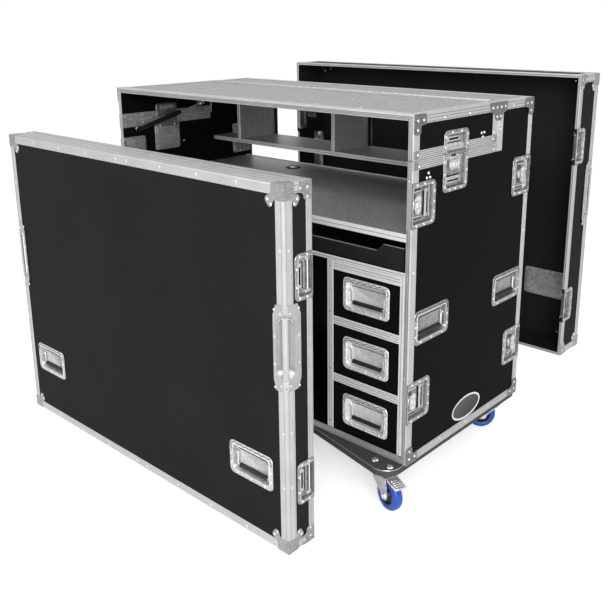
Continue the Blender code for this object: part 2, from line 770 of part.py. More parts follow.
def add_stud(shape, across, place):
    # Ball stud from the inside of a side to beside the strut
    near = abs(strut_x(across)) + STRUT_TUBE_RADIUS + GAP
    start, end = sorted((across * near, across * (INNER_X + JOIN)))
    centre = (place[0], BOTTOM + place[1])
    add_turned(shape, [(STUD_RADIUS, start), (STUD_RADIUS, end)], "X", 8, centre)


def make_badge():
    # Oval badge plate on the right side
    shape = bmesh.new()
    oval = [(u * BADGE_LENGTH / 2, BOTTOM + BADGE_Z + v * BADGE_HEIGHT / 2) for u, v in circle(1.0, 20)]
    face = INNER_X + PANEL + GAP
    add_prism(shape, oval, "X", face, face + PLATE)
    make_node("badge_plate", shape, "black_plastic")


def add_hinge_leaf(shape, direction):
    near = HINGE_Y + direction * (KNUCKLE_RADIUS / 2)
    far = HINGE_Y + direction * (HINGE_CLEAR + LEAF_WIDTH)
    low, high = sorted((near, far))
    between = HALF_X - SIDE_LEG - GAP
    add_box(shape, (-between, low, TOP + GAP), (between, high, TOP + GAP + LEAF))


def make_hinge_half(direction):
    # Leaf whose edge is notched for the other half's knuckles
    leaf = bmesh.new()
    add_hinge_leaf(leaf, direction)
    between = HALF_X - SIDE_LEG - GAP
    count = round(2 * between / KNUCKLE_LENGTH)
    pitch = 2 * between / count
    knuckles = bmesh.new()
    notches = bmesh.new()
    centre = (HINGE_Y, HINGE_Z)
    clear = KNUCKLE_RADIUS + PART_GAP
    for i in range(count):
        start = -between + i * pitch
        own = (i % 2 == 0) == (direction > 0)
        if own:
            add_turned(knuckles, [(KNUCKLE_RADIUS, start), (KNUCKLE_RADIUS, start + pitch - GAP)],
                       "X", 10, centre)
        else:
            add_box(notches, (start - GAP, HINGE_Y - clear, HINGE_Z - clear),
                    (start + pitch, HINGE_Y + clear, HINGE_Z + clear))
    bore = bmesh.new()
    add_turned(bore, [(KNUCKLE_BORE, -HALF_X), (KNUCKLE_BORE, HALF_X)], "X", 8, centre)
    return combine(combine(combine(leaf, notches), knuckles, "UNION"), bore)


def make_hinge():
    make_node("case_hinge", make_hinge_half(1), "stamped_steel")
    make_node("lid_hinge", make_hinge_half(-1), "stamped_steel")
    pin = bmesh.new()
    ends = HALF_X - SIDE_LEG
    add_turned(pin, [(PIN_RADIUS, -ends), (PIN_RADIUS, ends)], "X", 8, (HINGE_Y, HINGE_Z))
    make_node("hinge_pin", pin, "stamped_steel")


def caster_places():
    return [
        ("front_right", (CASTER_X, CASTER_FRONT_Y), FRONT_HEADING, True),
        ("front_left", (-CASTER_X, CASTER_FRONT_Y), 180.0 - FRONT_HEADING, True),
        ("rear_right", (CASTER_X, CASTER_REAR_Y), REAR_HEADING, False),
        ("rear_left", (-CASTER_X, CASTER_REAR_Y), 180.0 - REAR_HEADING, False),
    ]


def make_wheel_board():
    # Board with a lobe over each front caster, and the casters' top plates and races
    lobe = []
    for i in range(LOBE_STEPS + 1):
        turn = math.radians(LOBE_TURN_FROM * (1 - i / LOBE_STEPS))
        lobe.append((LOBE_X + LOBE_RADIUS * math.cos(turn), LOBE_Y + LOBE_RADIUS * math.sin(turn)))
    right = [(LOBE_START_X, -HALF_Y)] + lobe + [(LOBE_X + LOBE_RADIUS, HALF_Y)]
    left = [(-x, y) for x, y in reversed(right)]
    shape = bmesh.new()
    add_prism(shape, right + left, "Z", 0.0, BOARD_THICKNESS)
    length, width, thick = CASTER_PLATE
    for _, (x, y), _, _ in caster_places():
        rect = (x - length / 2, x + length / 2, y - width / 2, y + width / 2)
        add_rings(shape, [chamfered(rect, CASTER_PLATE_CHAMFER, z) for z in (-thick, JOIN)])
        add_prism(shape, circle(RACE_RADIUS, 14, (x, y)), "Z", -thick - RACE_HEIGHT, JOIN - thick)
    make_node("wheel_board", fuse(shape), "wheel_board")


def fork_top():
    return -CASTER_PLATE[2] - RACE_HEIGHT - GAP


def fork_shape():
    # Seen from the side the fork leans back from the swivel to the axle
    top = fork_top()
    axle_z = FLOOR + WHEEL_RADIUS
    outline = [(-FORK_BACK, top), (FORK_FRONT, top), (FORK_FRONT, top - FORK_FOOT),
               (TRAIL + FORK_FOOT, axle_z), (TRAIL + FORK_FOOT / 2, axle_z - FORK_FOOT),
               (TRAIL - FORK_FOOT / 2, axle_z - FORK_FOOT), (TRAIL - FORK_FOOT, axle_z),
               (-FORK_BACK, top - FORK_FOOT)]
    half = FORK_INNER / 2
    solid = bmesh.new()
    add_prism(solid, outline, "Y", -half - FORK_WALL, half + FORK_WALL)
    hollow = bmesh.new()
    add_box(hollow, (-FORK_BACK - FORK_FOOT, -half, FLOOR), (TRAIL + 2 * FORK_FOOT, half, top - FORK_CROWN))
    shape = combine(solid, hollow)
    outside = half + FORK_WALL
    ends = outside + NUT_HEIGHT
    add_turned(shape, [(AXLE_RADIUS, -half - JOIN), (AXLE_RADIUS, half + JOIN)], "Y", 10, (TRAIL, axle_z))
    for start, end in ((-ends, -outside + JOIN), (outside - JOIN, ends)):
        add_turned(shape, [(NUT_RADIUS, start), (NUT_RADIUS, end)], "Y", 6, (TRAIL, axle_z))
    return fuse(shape)


def wheel_shape():
    # Tyre, dished hub and axle bush as one turned section around the object's own Y axis.
    # Its flats, one of which rests on the floor, lie at the true radius
    half = WHEEL_WIDTH / 2
    bevel = WHEEL_WIDTH / 6
    bore = AXLE_RADIUS + AXLE_CLEARANCE
    side = FORK_INNER / 2 - GAP
    web = WHEEL_WIDTH / 4
    outer = [(bore, side), (NUT_RADIUS, side), (NUT_RADIUS, web), (HUB_RADIUS, web),
             (HUB_RADIUS, half), (WHEEL_RADIUS - bevel, half), (WHEEL_RADIUS, half - bevel)]
    section = outer + [(radius, -along) for radius, along in reversed(outer)]
    count = 22
    wheel = bmesh.new()
    rows = []
    for radius, along in section:
        ring = circle(radius / math.cos(math.pi / count), count)
        rows.append([wheel.verts.new(on_axis("Y", u, v, along)) for u, v in ring])
    for lower, upper in zip(rows, rows[1:] + rows[:1]):
        for i in range(count):
            j = (i + 1) % count
            wheel.faces.new((lower[i], lower[j], upper[j], upper[i]))
    return wheel


def make_casters():
    for name, (x, y), heading, braked in caster_places():
        turn = Matrix.Rotation(math.radians(heading), 4, "Z")
        place = Matrix.Translation((x, y, 0.0)) @ turn
        anchor = make_anchor(f"swivel_{name}", place)
        make_node(f"fork_{name}", fork_shape(), "stamped_steel", parent=anchor)
        axle = Matrix.Translation((TRAIL, 0.0, FLOOR + WHEEL_RADIUS))
        make_node(f"wheel_{name}", wheel_shape(), "blue_tyre", axle, anchor, smooth=True)
        if braked:
            make_pedal(name, anchor)


def make_pedal(name, anchor):
    # Brake pedal that tilts on the fork's front end, with its origin on that pivot
    half = PEDAL_WIDTH / 2
    shape = bmesh.new()
    rise = PEDAL_THICKNESS / 2
    outline = [(0.0, -rise), (PEDAL_LENGTH, -PEDAL_DROP - rise), (PEDAL_LENGTH, rise - PEDAL_DROP), (0.0, rise)]
    add_prism(shape, outline, "Y", -half, half)
    place = Matrix.Translation((FORK_FRONT + GAP, 0.0, fork_top() - PEDAL_THICKNESS / 2 - GAP))
    make_node(f"pedal_{name}", shape, "stamped_steel", place, anchor)


def open_box(shape, low, high, board):
    # Bottom, two sides and back of a box that is open at the top and front
    x0, y0, z0 = low
    x1, y1, z1 = high
    add_box(shape, low, (x1, y1, z0 + board))
    add_box(shape, (x0, y0, z0), (x0 + board, y1, z1))
    add_box(shape, (x1 - board, y0, z0), (x1, y1, z1))
    add_box(shape, (x0, y1 - board, z0), (x1, y1, z1))


def make_drawers():
    front = FACE_Y + SLIDE_GAP
    back = front + DRAWER_FRONT
    outer, pocket = handle_rects()
    for index in range(DRAWER_COUNT):
        low = drawer_low(index) + SLIDE_GAP
        high = drawer_low(index) + DRAWER_OPENING - SLIDE_GAP
        board = bmesh.new()
        add_box(board, (DRAWER_LEFT + SLIDE_GAP, front, low), (DRAWER_RIGHT - SLIDE_GAP, back, high))
        hole = bmesh.new()
        frame = drawer_handle_frame(index)
        add_pan_hole(hole, frame, pocket, HANDLE_RECESS + DRAWER_FRONT)
        shape = combine(board, hole)
        box_low = (DRAWER_LEFT + SLIDE_GAP + DRAWER_BOX_SIDE, back - JOIN, low)
        box_high = (DRAWER_RIGHT - SLIDE_GAP, back + DRAWER_DEPTH, low + DRAWER_BOX_HEIGHT)
        open_box(shape, box_low, box_high, DRAWER_BOARD)
        add_pan(shape, frame, outer, pocket, HANDLE_RECESS)
        make_node(f"drawer_{index + 1}", fuse(shape), "black_board")
        make_bail(f"bail_drawer_{index + 1}", frame)


def make_tray():
    # Pull-out tray; its front lip is higher at both ends
    side = TRAY_HALF
    low = BOTTOM + TRAY_SHELF_TOP + SLIDE_GAP
    front = FACE_Y + EDGE_WALL + SLIDE_GAP
    middle_top = BOTTOM + TRAY_TOP
    end_top = BOTTOM + TRAY_END_TOP
    run = TRAY_STEP_X + TRAY_STEP_RUN
    outline = [(-side, low), (side, low), (side, end_top), (run, end_top), (TRAY_STEP_X, middle_top),
               (-TRAY_STEP_X, middle_top), (-run, end_top), (-side, end_top)]
    shape = bmesh.new()
    add_prism(shape, outline, "Y", front, front + TRAY_LIP)
    back = front + TRAY_LIP - JOIN
    open_box(shape, (-side, back, low), (side, front + TRAY_DEPTH, middle_top - SLIDE_GAP), TRAY_BOARD)
    make_node("keyboard_tray", fuse(shape), "black_steel")


def make_struts():
    foot = Vector((0.0, STRUT_FOOT[0], BOTTOM + STRUT_FOOT[1]))
    head = Vector((0.0, STRUT_HEAD[0], BOTTOM + STRUT_HEAD[1]))
    length = (head - foot).length
    lean = math.atan2(head.z - foot.z, head.y - foot.y)
    radius = STRUT_TUBE_RADIUS
    bore = STRUT_ROD_RADIUS + GAP
    for name, across in (("right", 1), ("left", -1)):
        place = Matrix.Translation((strut_x(across), foot.y, foot.z)) @ Matrix.Rotation(lean, 4, "X")
        tube = bmesh.new()
        add_turned(tube, [(radius, -radius), (radius, STRUT_TUBE_LENGTH), (bore, STRUT_TUBE_LENGTH),
                          (bore, radius)], "Y", 12)
        make_node(f"strut_tube_{name}", tube, "black_steel", place, smooth=True)
        rod = bmesh.new()
        rod_radius = STRUT_ROD_RADIUS
        neck = length - radius
        add_turned(rod, [(rod_radius, STRUT_ROD_START), (rod_radius, neck), (radius, neck),
                         (radius, length + radius)], "Y", 12)
        make_node(f"strut_rod_{name}", rod, "stamped_steel", place, smooth=True)


def make_lid():
    low = PART_Z + PART_GAP + SKIN
    high = TOP - SKIN
    front = -HALF_Y + SKIN
    shape = bmesh.new()
    back = HINGE_Y - HINGE_CLEAR - SKIN
    add_box(shape, (INNER_X, front, low), (INNER_X + PANEL, back, high))
    add_mirrored(shape)
    outer = HALF_X - SKIN
    add_box(shape, (-outer, front, high - PANEL), (outer, back, high))
    shape = combine(fuse(shape), lid_keeper_holes())
    for across in (1, -1):
        add_stud(shape, across, STRUT_HEAD)
    make_node("lid_panels", fuse(shape), "silver_laminate")
    make_lid_metalwork()


def lid_keeper_holes():
    holes = bmesh.new()
    pocket = turned_rect(latch_rects(KEEPER_LENGTH, -1)[1])
    for across in (1, -1):
        add_pan_hole(holes, lid_latch_frame(across), pocket, LATCH_RECESS + PANEL)
    return holes


def make_lid_metalwork():
    # Edging, front corner brackets and the keepers of the lid's latches
    low = PART_Z + PART_GAP
    shape = bmesh.new()
    arm_back = HINGE_Y - PART_GAP
    add_angle(shape, "Y", (HALF_X, low), (-LIP, BAND), -HALF_Y, arm_back)
    add_angle(shape, "Z", (HALF_X, -HALF_Y), (-FRONT_LEG, SIDE_LEG), low + BAND - JOIN, TOP - FRONT_LEG + JOIN)
    add_angle(shape, "Z", (HALF_X, arm_back), (-LIP, -ARM), low, TOP - SIDE_LEG + JOIN)
    add_angle(shape, "Y", (HALF_X, TOP), (-SIDE_LEG, -SIDE_LEG),
              -HALF_Y + SIDE_LEG - JOIN, HINGE_Y - HINGE_CLEAR)
    add_mirrored(shape)
    add_angle(shape, "X", (-HALF_Y, TOP), (SIDE_LEG, -FRONT_LEG), -HALF_X, HALF_X)
    across = HALF_X - SIDE_LEG + JOIN
    add_angle(shape, "X", (HINGE_Y - HINGE_CLEAR, TOP), (-HINGE_STRIP, -EDGE_WALL - PANEL), -across, across)
    shape = combine(fuse(shape), lid_keeper_holes())
    outer, pocket = latch_rects(KEEPER_LENGTH, -1)
    for across in (1, -1):
        add_pan(shape, lid_latch_frame(across), turned_rect(outer), turned_rect(pocket), LATCH_RECESS)
    brackets = bmesh.new()
    outline = bracket_outline((-HALF_Y, TOP), 1, -1)
    add_prism(brackets, outline, "X", SEATED_X, SEATED_X + BRACKET)
    add_mirrored(brackets)
    merge_into(shape, brackets)
    make_node("lid_metalwork", fuse(shape), "extrusion")


def make_latch_wings():
    for name, frame, toward in latch_frames():
        make_wing(f"wing_{name}", frame, -toward * WING_PIVOT, 0.0)
    for name, across in (("right", 1), ("left", -1)):
        make_wing(f"wing_lid_{name}", lid_latch_frame(across), 0.0, -WING_PIVOT)


def cover_keeper_frame(z):
    return face_frame((SEATED_X, 0.0, z), (1, 0, 0))


def cover_handle_frame(depth, x):
    return face_frame((x, -depth + SKIN + SEAT, COVER_HANDLE_Z), (0, -1, 0))


def cover_holes(depth):
    holes = bmesh.new()
    for z in LATCH_HEIGHTS:
        pocket = latch_rects(KEEPER_LENGTH, 1)[1]
        add_pan_hole(holes, cover_keeper_frame(z), pocket, LATCH_RECESS + PANEL)
    add_pan_hole(holes, cover_handle_frame(depth, COVER_HANDLE_X), handle_rects()[1],
                 HANDLE_RECESS + PANEL)
    margin = CORNER_HANDLE_MARGIN
    half = CORNER_HANDLE_LENGTH / 2 - margin
    add_box(holes, (HALF_X - CORNER_HANDLE_FACE + margin, -depth - PANEL, CORNER_HANDLE_Z - half),
            (HALF_X + PANEL, -depth + CORNER_HANDLE_SIDE - margin, CORNER_HANDLE_Z + half))
    add_mirrored(holes)
    return holes


def cover_shell(depth):
    # Face and four rim boards, with the face's handle dishes
    shape = bmesh.new()
    outer = HALF_X - SKIN
    high = CASE_HEIGHT - SKIN
    face = -depth + SKIN
    add_box(shape, (-outer, face, SKIN), (outer, face + PANEL, high))
    for side in (-1, 1):
        ends = sorted((side * INNER_X, side * outer))
        add_box(shape, (ends[0], face, SKIN), (ends[1], -SKIN, high))
    for low in (SKIN, high - PANEL):
        add_box(shape, (-outer, face, low), (outer, -SKIN, low + PANEL))
    shape = combine(fuse(shape), cover_holes(depth))
    outer, pocket = handle_rects()
    for x in (COVER_HANDLE_X, -COVER_HANDLE_X):
        add_pan(shape, cover_handle_frame(depth, x), outer, pocket, HANDLE_RECESS)
    return fuse(shape)


def cover_frame(depth):
    # Edging around the face, corner plates and corner handles
    shape = bmesh.new()
    leg = COVER_FACE_LEG
    half = CORNER_HANDLE_LENGTH / 2 - CORNER_HANDLE_MARGIN
    high = CASE_HEIGHT - leg + JOIN
    for start, end in ((leg - JOIN, CORNER_HANDLE_Z - half), (CORNER_HANDLE_Z + half, high)):
        add_angle(shape, "Z", (HALF_X, -depth), (-leg, COVER_SIDE_LEG), start, end)
    front = depth - SEAT
    for z, up in ((0.0, 1), (CASE_HEIGHT, -1)):
        add_prism(shape, bracket_outline((-depth, z), 1, up), "X", SEATED_X, SEATED_X + BRACKET)
        add_prism(shape, bracket_outline((HALF_X, z), -1, up), "Y", -front - BRACKET, -front)
    merge_into(shape, corner_handle(depth))
    add_mirrored(shape)
    for z, up in ((0.0, 1), (CASE_HEIGHT, -1)):
        add_angle(shape, "X", (-depth, z), (COVER_SIDE_LEG, up * leg), -HALF_X, HALF_X)
    return fuse(shape)


def cover_rim(depth):
    # Edging of the open side and of the four short corners, with the latch keepers
    shape = bmesh.new()
    start = -depth + BRACKET_LEG + GAP
    for z, up in ((0.0, 1), (CASE_HEIGHT, -1)):
        add_angle(shape, "Y", (HALF_X, z), (-SIDE_LEG, up * SIDE_LEG), start, JOIN - RIM)
    add_angle(shape, "Z", (HALF_X, 0.0), (-LIP, -RIM), LIP - JOIN, CASE_HEIGHT - LIP + JOIN)
    add_mirrored(shape)
    for z, up in ((0.0, 1), (CASE_HEIGHT, -1)):
        add_angle(shape, "X", (0.0, z), (-RIM, up * LIP), -HALF_X, HALF_X)
    shape = combine(fuse(shape), cover_holes(depth))
    fittings = bmesh.new()
    outer, pocket = latch_rects(KEEPER_LENGTH, 1)
    for z in LATCH_HEIGHTS:
        add_pan(fittings, cover_keeper_frame(z), outer, pocket, LATCH_RECESS)
    for z, up in ((0.0, 1), (CASE_HEIGHT, -1)):
        outline = bracket_outline((0.0, z), -1, up, RIM_BRACKET_LEG)
        add_prism(fittings, outline, "X", SEATED_X, SEATED_X + BRACKET)
    add_mirrored(fittings)
    merge_into(shape, fittings)
    return fuse(shape)


def corner_handle(depth):
    # Angle plate around the upright edge, with a finger slot on each side of the grip
    plate = bmesh.new()
    half = CORNER_HANDLE_LENGTH / 2
    low, high = CORNER_HANDLE_Z - half, CORNER_HANDLE_Z + half
    corner = (HALF_X + EDGE_WALL - SEAT, -depth - EDGE_WALL + SEAT)
    add_angle(plate, "Z", corner, (-CORNER_HANDLE_FACE, CORNER_HANDLE_SIDE), low, high)
    slots = bmesh.new()
    slot_low = CORNER_HANDLE_Z - CORNER_SLOT / 2
    slot_high = CORNER_HANDLE_Z + CORNER_SLOT / 2
    near = HALF_X - CORNER_GRIP
    add_box(slots, (near - CORNER_SLOT_WIDTH, -depth - PANEL, slot_low), (near, -depth + PANEL, slot_high))
    near = -depth + CORNER_GRIP
    add_box(slots, (HALF_X - PANEL, near, slot_low), (HALF_X + PANEL, near + CORNER_SLOT_WIDTH, slot_high))
    return combine(plate, slots)


def make_cover(name, depth, place):
    anchor = make_anchor(name, place)
    make_node(f"{name}_shell", cover_shell(depth), "black_board", parent=anchor)
    make_node(f"{name}_frame", cover_frame(depth), "extrusion", parent=anchor)
    make_node(f"{name}_rim", cover_rim(depth), "extrusion", parent=anchor)
    for side, x in (("left", -COVER_HANDLE_X), ("right", COVER_HANDLE_X)):
        make_bail(f"bail_{name}_{side}", cover_handle_frame(depth, x), anchor)


def make_covers():
    front = Matrix.Translation((FRONT_COVER_X, FRONT_COVER_Y, FLOOR + GAP))
    make_cover("front_cover", FRONT_COVER_DEPTH, front)
    rear = Matrix.Translation((REAR_COVER_X, REAR_COVER_Y, BOTTOM + REAR_COVER_LIFT))
    make_cover("rear_cover", REAR_COVER_DEPTH, rear @ Matrix.Rotation(math.pi, 4, "Z"))


def main():
    clear_scene()
    make_case_panels()
    make_worktop()
    make_tray_shelf()
    make_bay_divider()
    make_rack_section()
    make_drawer_cabinet()
    make_case_metalwork()
    make_badge()
    make_hinge()
    make_wheel_board()
    make_casters()
    make_drawers()
    make_tray()
    make_struts()
    make_lid()
    make_latch_wings()
    for name, frame in side_handle_frames():
        make_bail(f"bail_{name}", frame)
    make_covers()


main()
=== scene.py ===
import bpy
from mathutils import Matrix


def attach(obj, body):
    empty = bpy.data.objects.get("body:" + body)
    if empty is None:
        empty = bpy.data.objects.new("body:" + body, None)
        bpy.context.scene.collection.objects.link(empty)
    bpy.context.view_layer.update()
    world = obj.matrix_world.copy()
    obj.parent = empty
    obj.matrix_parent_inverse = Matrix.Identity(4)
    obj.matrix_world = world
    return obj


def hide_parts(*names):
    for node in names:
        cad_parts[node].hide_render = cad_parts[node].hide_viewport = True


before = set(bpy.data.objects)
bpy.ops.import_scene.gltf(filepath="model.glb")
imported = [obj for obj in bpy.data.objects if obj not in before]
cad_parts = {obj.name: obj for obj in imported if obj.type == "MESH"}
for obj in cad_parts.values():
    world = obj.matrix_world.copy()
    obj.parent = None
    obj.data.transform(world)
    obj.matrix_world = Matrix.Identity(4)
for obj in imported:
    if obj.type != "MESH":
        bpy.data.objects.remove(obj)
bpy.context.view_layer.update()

from math import cos, pi, radians, sin, tau

import bmesh
import bpy
from mathutils import Matrix, Vector

move = Matrix.Translation


def swing(angle, axis):
    return Matrix.Rotation(angle, 4, axis)


# main sizes of the case, in metres, as the solids have them
case = {"halfX": .675, "halfY": .330, "low": .021, "top": 1.061, "part": .936, "hingeY": .110,
        "face": -.3282, "inside": .6642, "floor": -.122, "latchZ": (.219, .811), "lidLatchY": -.119, "handleY": .217,
        "handleZ": .446, "drawerPitch": .190}
covers = {
    "front_cover": {"depth": .104, "topLeg": .0805, "topRibs": 4, "place": move((-.110, -.610, -.1217))},
    "rear_cover": {"depth": .151, "topLeg": .032, "topRibs": 2, "place": move((.033, .603, .076)) @ swing(pi, "Z")},
}
coverHandle = {"x": .530, "z": .222}


# camera, floor and light
view = {"place": (1.894, -2.051, 1.305), "yaw": 41.85, "pitch": 75.01, "roll": -.22, "lens": 47.06,
        "shift": (-.032, -.119)}
studio = {"floorColour": .86, "floorGlow": .56, "ambient": .52,
          "aim": (0, 0, .45), "floorSize": 30, "floorGap": .0002,
          "lamps": {"key": {"place": (-2.6, -4.6, 4.2), "size": 3.4, "power": 120},
                    "fill": {"place": (3.3, -3.0, 1.9), "size": 2.6, "power": 165},
                    "top": {"place": (.4, .6, 4.6), "size": 3.6, "power": 34}}}


def setCamera():
    camera = bpy.data.cameras.new("camera")
    camera.lens = view["lens"]
    camera.sensor_width = 36
    camera.shift_x, camera.shift_y = view["shift"]
    holder = bpy.data.objects.new("camera", camera)
    turn = (swing(radians(view["yaw"]), "Z") @ swing(radians(view["pitch"]), "X") @ swing(radians(view["roll"]), "Z"))
    holder.matrix_world = move(view["place"]) @ turn
    bpy.context.scene.collection.objects.link(holder)
    bpy.context.scene.camera = holder


def addMath(tree, operation, *values):
    node = tree.nodes.new("ShaderNodeMath")
    node.operation = operation
    for socket, value in zip(node.inputs, values):
        if isinstance(value, (int, float)):
            socket.default_value = value
        else:
            tree.links.new(value, socket)
    return node.outputs[0]


def seenRays(tree):
    # 1 where the camera, a mirror or glass looks straight at it
    seen, mirrored, through = (tree.nodes.new("ShaderNodeLightPath").outputs[f"Is {kind} Ray"]
                               for kind in ("Camera", "Glossy", "Transmission"))
    return addMath(tree, "MAXIMUM", addMath(tree, "MAXIMUM", seen, mirrored), through)


def setStudio():
    world = bpy.data.worlds.new("studio")
    bpy.context.scene.world = world
    world.use_nodes = True
    tree = world.node_tree
    tree.nodes.clear()
    seen, ambient = (tree.nodes.new("ShaderNodeBackground") for _ in range(2))
    seen.inputs["Color"].default_value = ambient.inputs["Color"].default_value = (1, 1, 1, 1)
    ambient.inputs["Strength"].default_value = studio["ambient"]
    blend = tree.nodes.new("ShaderNodeMixShader")
    tree.links.new(seenRays(tree), blend.inputs[0])
    tree.links.new(ambient.outputs[0], blend.inputs[1])
    tree.links.new(seen.outputs[0], blend.inputs[2])
    tree.links.new(blend.outputs[0], tree.nodes.new("ShaderNodeOutputWorld").inputs["Surface"])
    for name, setting in studio["lamps"].items():
        lamp = bpy.data.lights.new(name, "AREA")
        lamp.energy, lamp.size = setting["power"], setting["size"]
        holder = bpy.data.objects.new(name, lamp)
        aim = Vector(studio["aim"]) - Vector(setting["place"])
        holder.matrix_world = move(setting["place"]) @ aim.to_track_quat("-Z", "Y").to_matrix().to_4x4()
        bpy.context.scene.collection.objects.link(holder)
    bpy.context.scene.view_settings.view_transform = "Standard"


def setFloor():
    sheet = bmesh.new()
    bmesh.ops.create_grid(sheet, x_segments=2, y_segments=2, size=studio["floorSize"],
                          matrix=move((0, 0, case["floor"] - studio["floorGap"])))
    mesh = bpy.data.meshes.new("studio_floor")
    sheet.to_mesh(mesh)
    sheet.free()
    floor = bpy.data.objects.new("studio_floor", mesh)
    bpy.context.scene.collection.objects.link(floor)
    paint = bpy.data.materials.new("studio_floor")
    paint.use_nodes = True
    tree = paint.node_tree
    shader = tree.nodes["Principled BSDF"]
    shader.inputs["Base Color"].default_value = (studio["floorColour"],) * 3 + (1,)
    shader.inputs["Roughness"].default_value = 1
    shader.inputs["Specular IOR Level"].default_value = 0
    shader.inputs["Emission Color"].default_value = (1, 1, 1, 1)
    glow = addMath(tree, "MULTIPLY", seenRays(tree), studio["floorGlow"])
    tree.links.new(glow, shader.inputs["Emission Strength"])
    mesh.materials.append(paint)


setCamera()
setStudio()
setFloor()
print("camera, floor and light are set")


# finishes
def newGroup(name, inputs):
    group = bpy.data.node_groups.new(name, "ShaderNodeTree")
    group.interface.new_socket("Vector", in_out="INPUT", socket_type="NodeSocketVector")
    for label, value in inputs:
        kind = "NodeSocketVector" if isinstance(value, tuple) else "NodeSocketFloat"
        group.interface.new_socket(label, in_out="INPUT", socket_type=kind).default_value = value
    for label in ("Tone", "Height"):
        group.interface.new_socket(label, in_out="OUTPUT", socket_type="NodeSocketFloat")
    return group, group.nodes.new("NodeGroupInput"), group.nodes.new("NodeGroupOutput")


def fineGrainGroup():
    # Even grain of a film or a cast skin, with slow patches of wear
    group, given, out = newGroup("fineGrain", (("Scale", 900.0), ("Patch Scale", 6.0), ("Patch Share", .4)))
    grain = group.nodes.new("ShaderNodeTexNoise")
    grain.inputs["Detail"].default_value = 3
    patch = group.nodes.new("ShaderNodeTexNoise")
    patch.inputs["Detail"].default_value = 4
    for node, scale in ((grain, "Scale"), (patch, "Patch Scale")):
        group.links.new(given.outputs["Vector"], node.inputs["Vector"])
        group.links.new(given.outputs[scale], node.inputs["Scale"])
    fineShare = addMath(group, "SUBTRACT", 1.0, given.outputs["Patch Share"])
    fine = addMath(group, "MULTIPLY", grain.outputs["Fac"], fineShare)
    slow = addMath(group, "MULTIPLY", patch.outputs["Fac"], given.outputs["Patch Share"])
    group.links.new(addMath(group, "ADD", fine, slow), out.inputs["Tone"])
    group.links.new(grain.outputs["Fac"], out.inputs["Height"])
    return group


def brushedGroup():
    # Long fine streaks with even hairlines between them; Stretch draws the pattern out along them
    lineShare = .34
    inputs = ("Scale", 60.0), ("Line Scale", 57.0), ("Stretch", (1.0, 1.0, 1.0)), ("Turn", (0.0, 0.0, 0.0))
    group, given, out = newGroup("brushedStreaks", inputs)
    place = group.nodes.new("ShaderNodeMapping")
    place.vector_type = "TEXTURE"
    group.links.new(given.outputs["Vector"], place.inputs["Vector"])
    group.links.new(given.outputs["Stretch"], place.inputs["Scale"])
    group.links.new(given.outputs["Turn"], place.inputs["Rotation"])
    streak = group.nodes.new("ShaderNodeTexNoise")
    streak.inputs["Detail"].default_value = 5
    streak.inputs["Roughness"].default_value = .62
    group.links.new(place.outputs["Vector"], streak.inputs["Vector"])
    group.links.new(given.outputs["Scale"], streak.inputs["Scale"])
    lines = group.nodes.new("ShaderNodeTexWave")
    lines.bands_direction = "Y"
    lines.inputs["Distortion"].default_value = .6
    group.links.new(place.outputs["Vector"], lines.inputs["Vector"])
    group.links.new(given.outputs["Line Scale"], lines.inputs["Scale"])
    streakPart = addMath(group, "MULTIPLY", streak.outputs["Fac"], 1 - lineShare)
    group.links.new(addMath(group, "MULTIPLY_ADD", lines.outputs["Fac"], lineShare, streakPart), out.inputs["Tone"])
    group.links.new(streak.outputs["Fac"], out.inputs["Height"])
    return group


def platedGroup():
    # Flakes of zinc on stamped sheet, softened by a cloudy tone
    flakeShare = .45
    group, given, out = newGroup("platedFlakes", (("Scale", 220.0), ("Cloud Scale", 30.0)))
    flake = group.nodes.new("ShaderNodeTexVoronoi")
    cloud = group.nodes.new("ShaderNodeTexNoise")
    cloud.inputs["Detail"].default_value = 4
    for node, scale in ((flake, "Scale"), (cloud, "Cloud Scale")):
        group.links.new(given.outputs["Vector"], node.inputs["Vector"])
        group.links.new(given.outputs[scale], node.inputs["Scale"])
    bright = group.nodes.new("ShaderNodeRGBToBW")
    group.links.new(flake.outputs["Color"], bright.inputs[0])
    cloudPart = addMath(group, "MULTIPLY", cloud.outputs["Fac"], 1 - flakeShare)
    group.links.new(addMath(group, "MULTIPLY_ADD", bright.outputs[0], flakeShare, cloudPart), out.inputs["Tone"])
    group.links.new(cloud.outputs["Fac"], out.inputs["Height"])
    return group


effects = {"grain": (fineGrainGroup(), ("Scale", "Patch Scale", "Patch Share")),
           "brushed": (brushedGroup(), ("Scale", "Stretch", "Turn")),
           "plated": (platedGroup(), ("Scale", "Cloud Scale"))}


def surfaceSockets(tree, effect, pattern, dark, light, rough, relief, spread=(.3, .7)):
    # Colour, roughness and normal of one surface. dark and light are the ends of its tone, rough its lowest and
    # highest roughness, relief the strength and distance of its bump
    group, labels = effects[effect]
    place = tree.nodes.new("ShaderNodeTexCoord")
    made = tree.nodes.new("ShaderNodeGroup")
    made.node_tree = group
    tree.links.new(place.outputs["Object"], made.inputs["Vector"])
    for label, value in zip(labels, pattern):
        made.inputs[label].default_value = value
    tone = tree.nodes.new("ShaderNodeValToRGB")
    for element, position, colour in zip(tone.color_ramp.elements, spread, (dark, light)):
        element.position = position
        element.color = (*(colour if isinstance(colour, tuple) else (colour,) * 3), 1)
    tree.links.new(made.outputs["Tone"], tone.inputs[0])
    gloss = tree.nodes.new("ShaderNodeMapRange")
    gloss.inputs["To Min"].default_value, gloss.inputs["To Max"].default_value = rough
    tree.links.new(made.outputs["Tone"], gloss.inputs["Value"])
    bump = tree.nodes.new("ShaderNodeBump")
    bump.inputs["Strength"].default_value, bump.inputs["Distance"].default_value = relief
    tree.links.new(made.outputs["Height"], bump.inputs["Height"])
    return {"Base Color": tone.outputs["Color"], "Roughness": gloss.outputs["Result"],
            "Normal": bump.outputs["Normal"]}


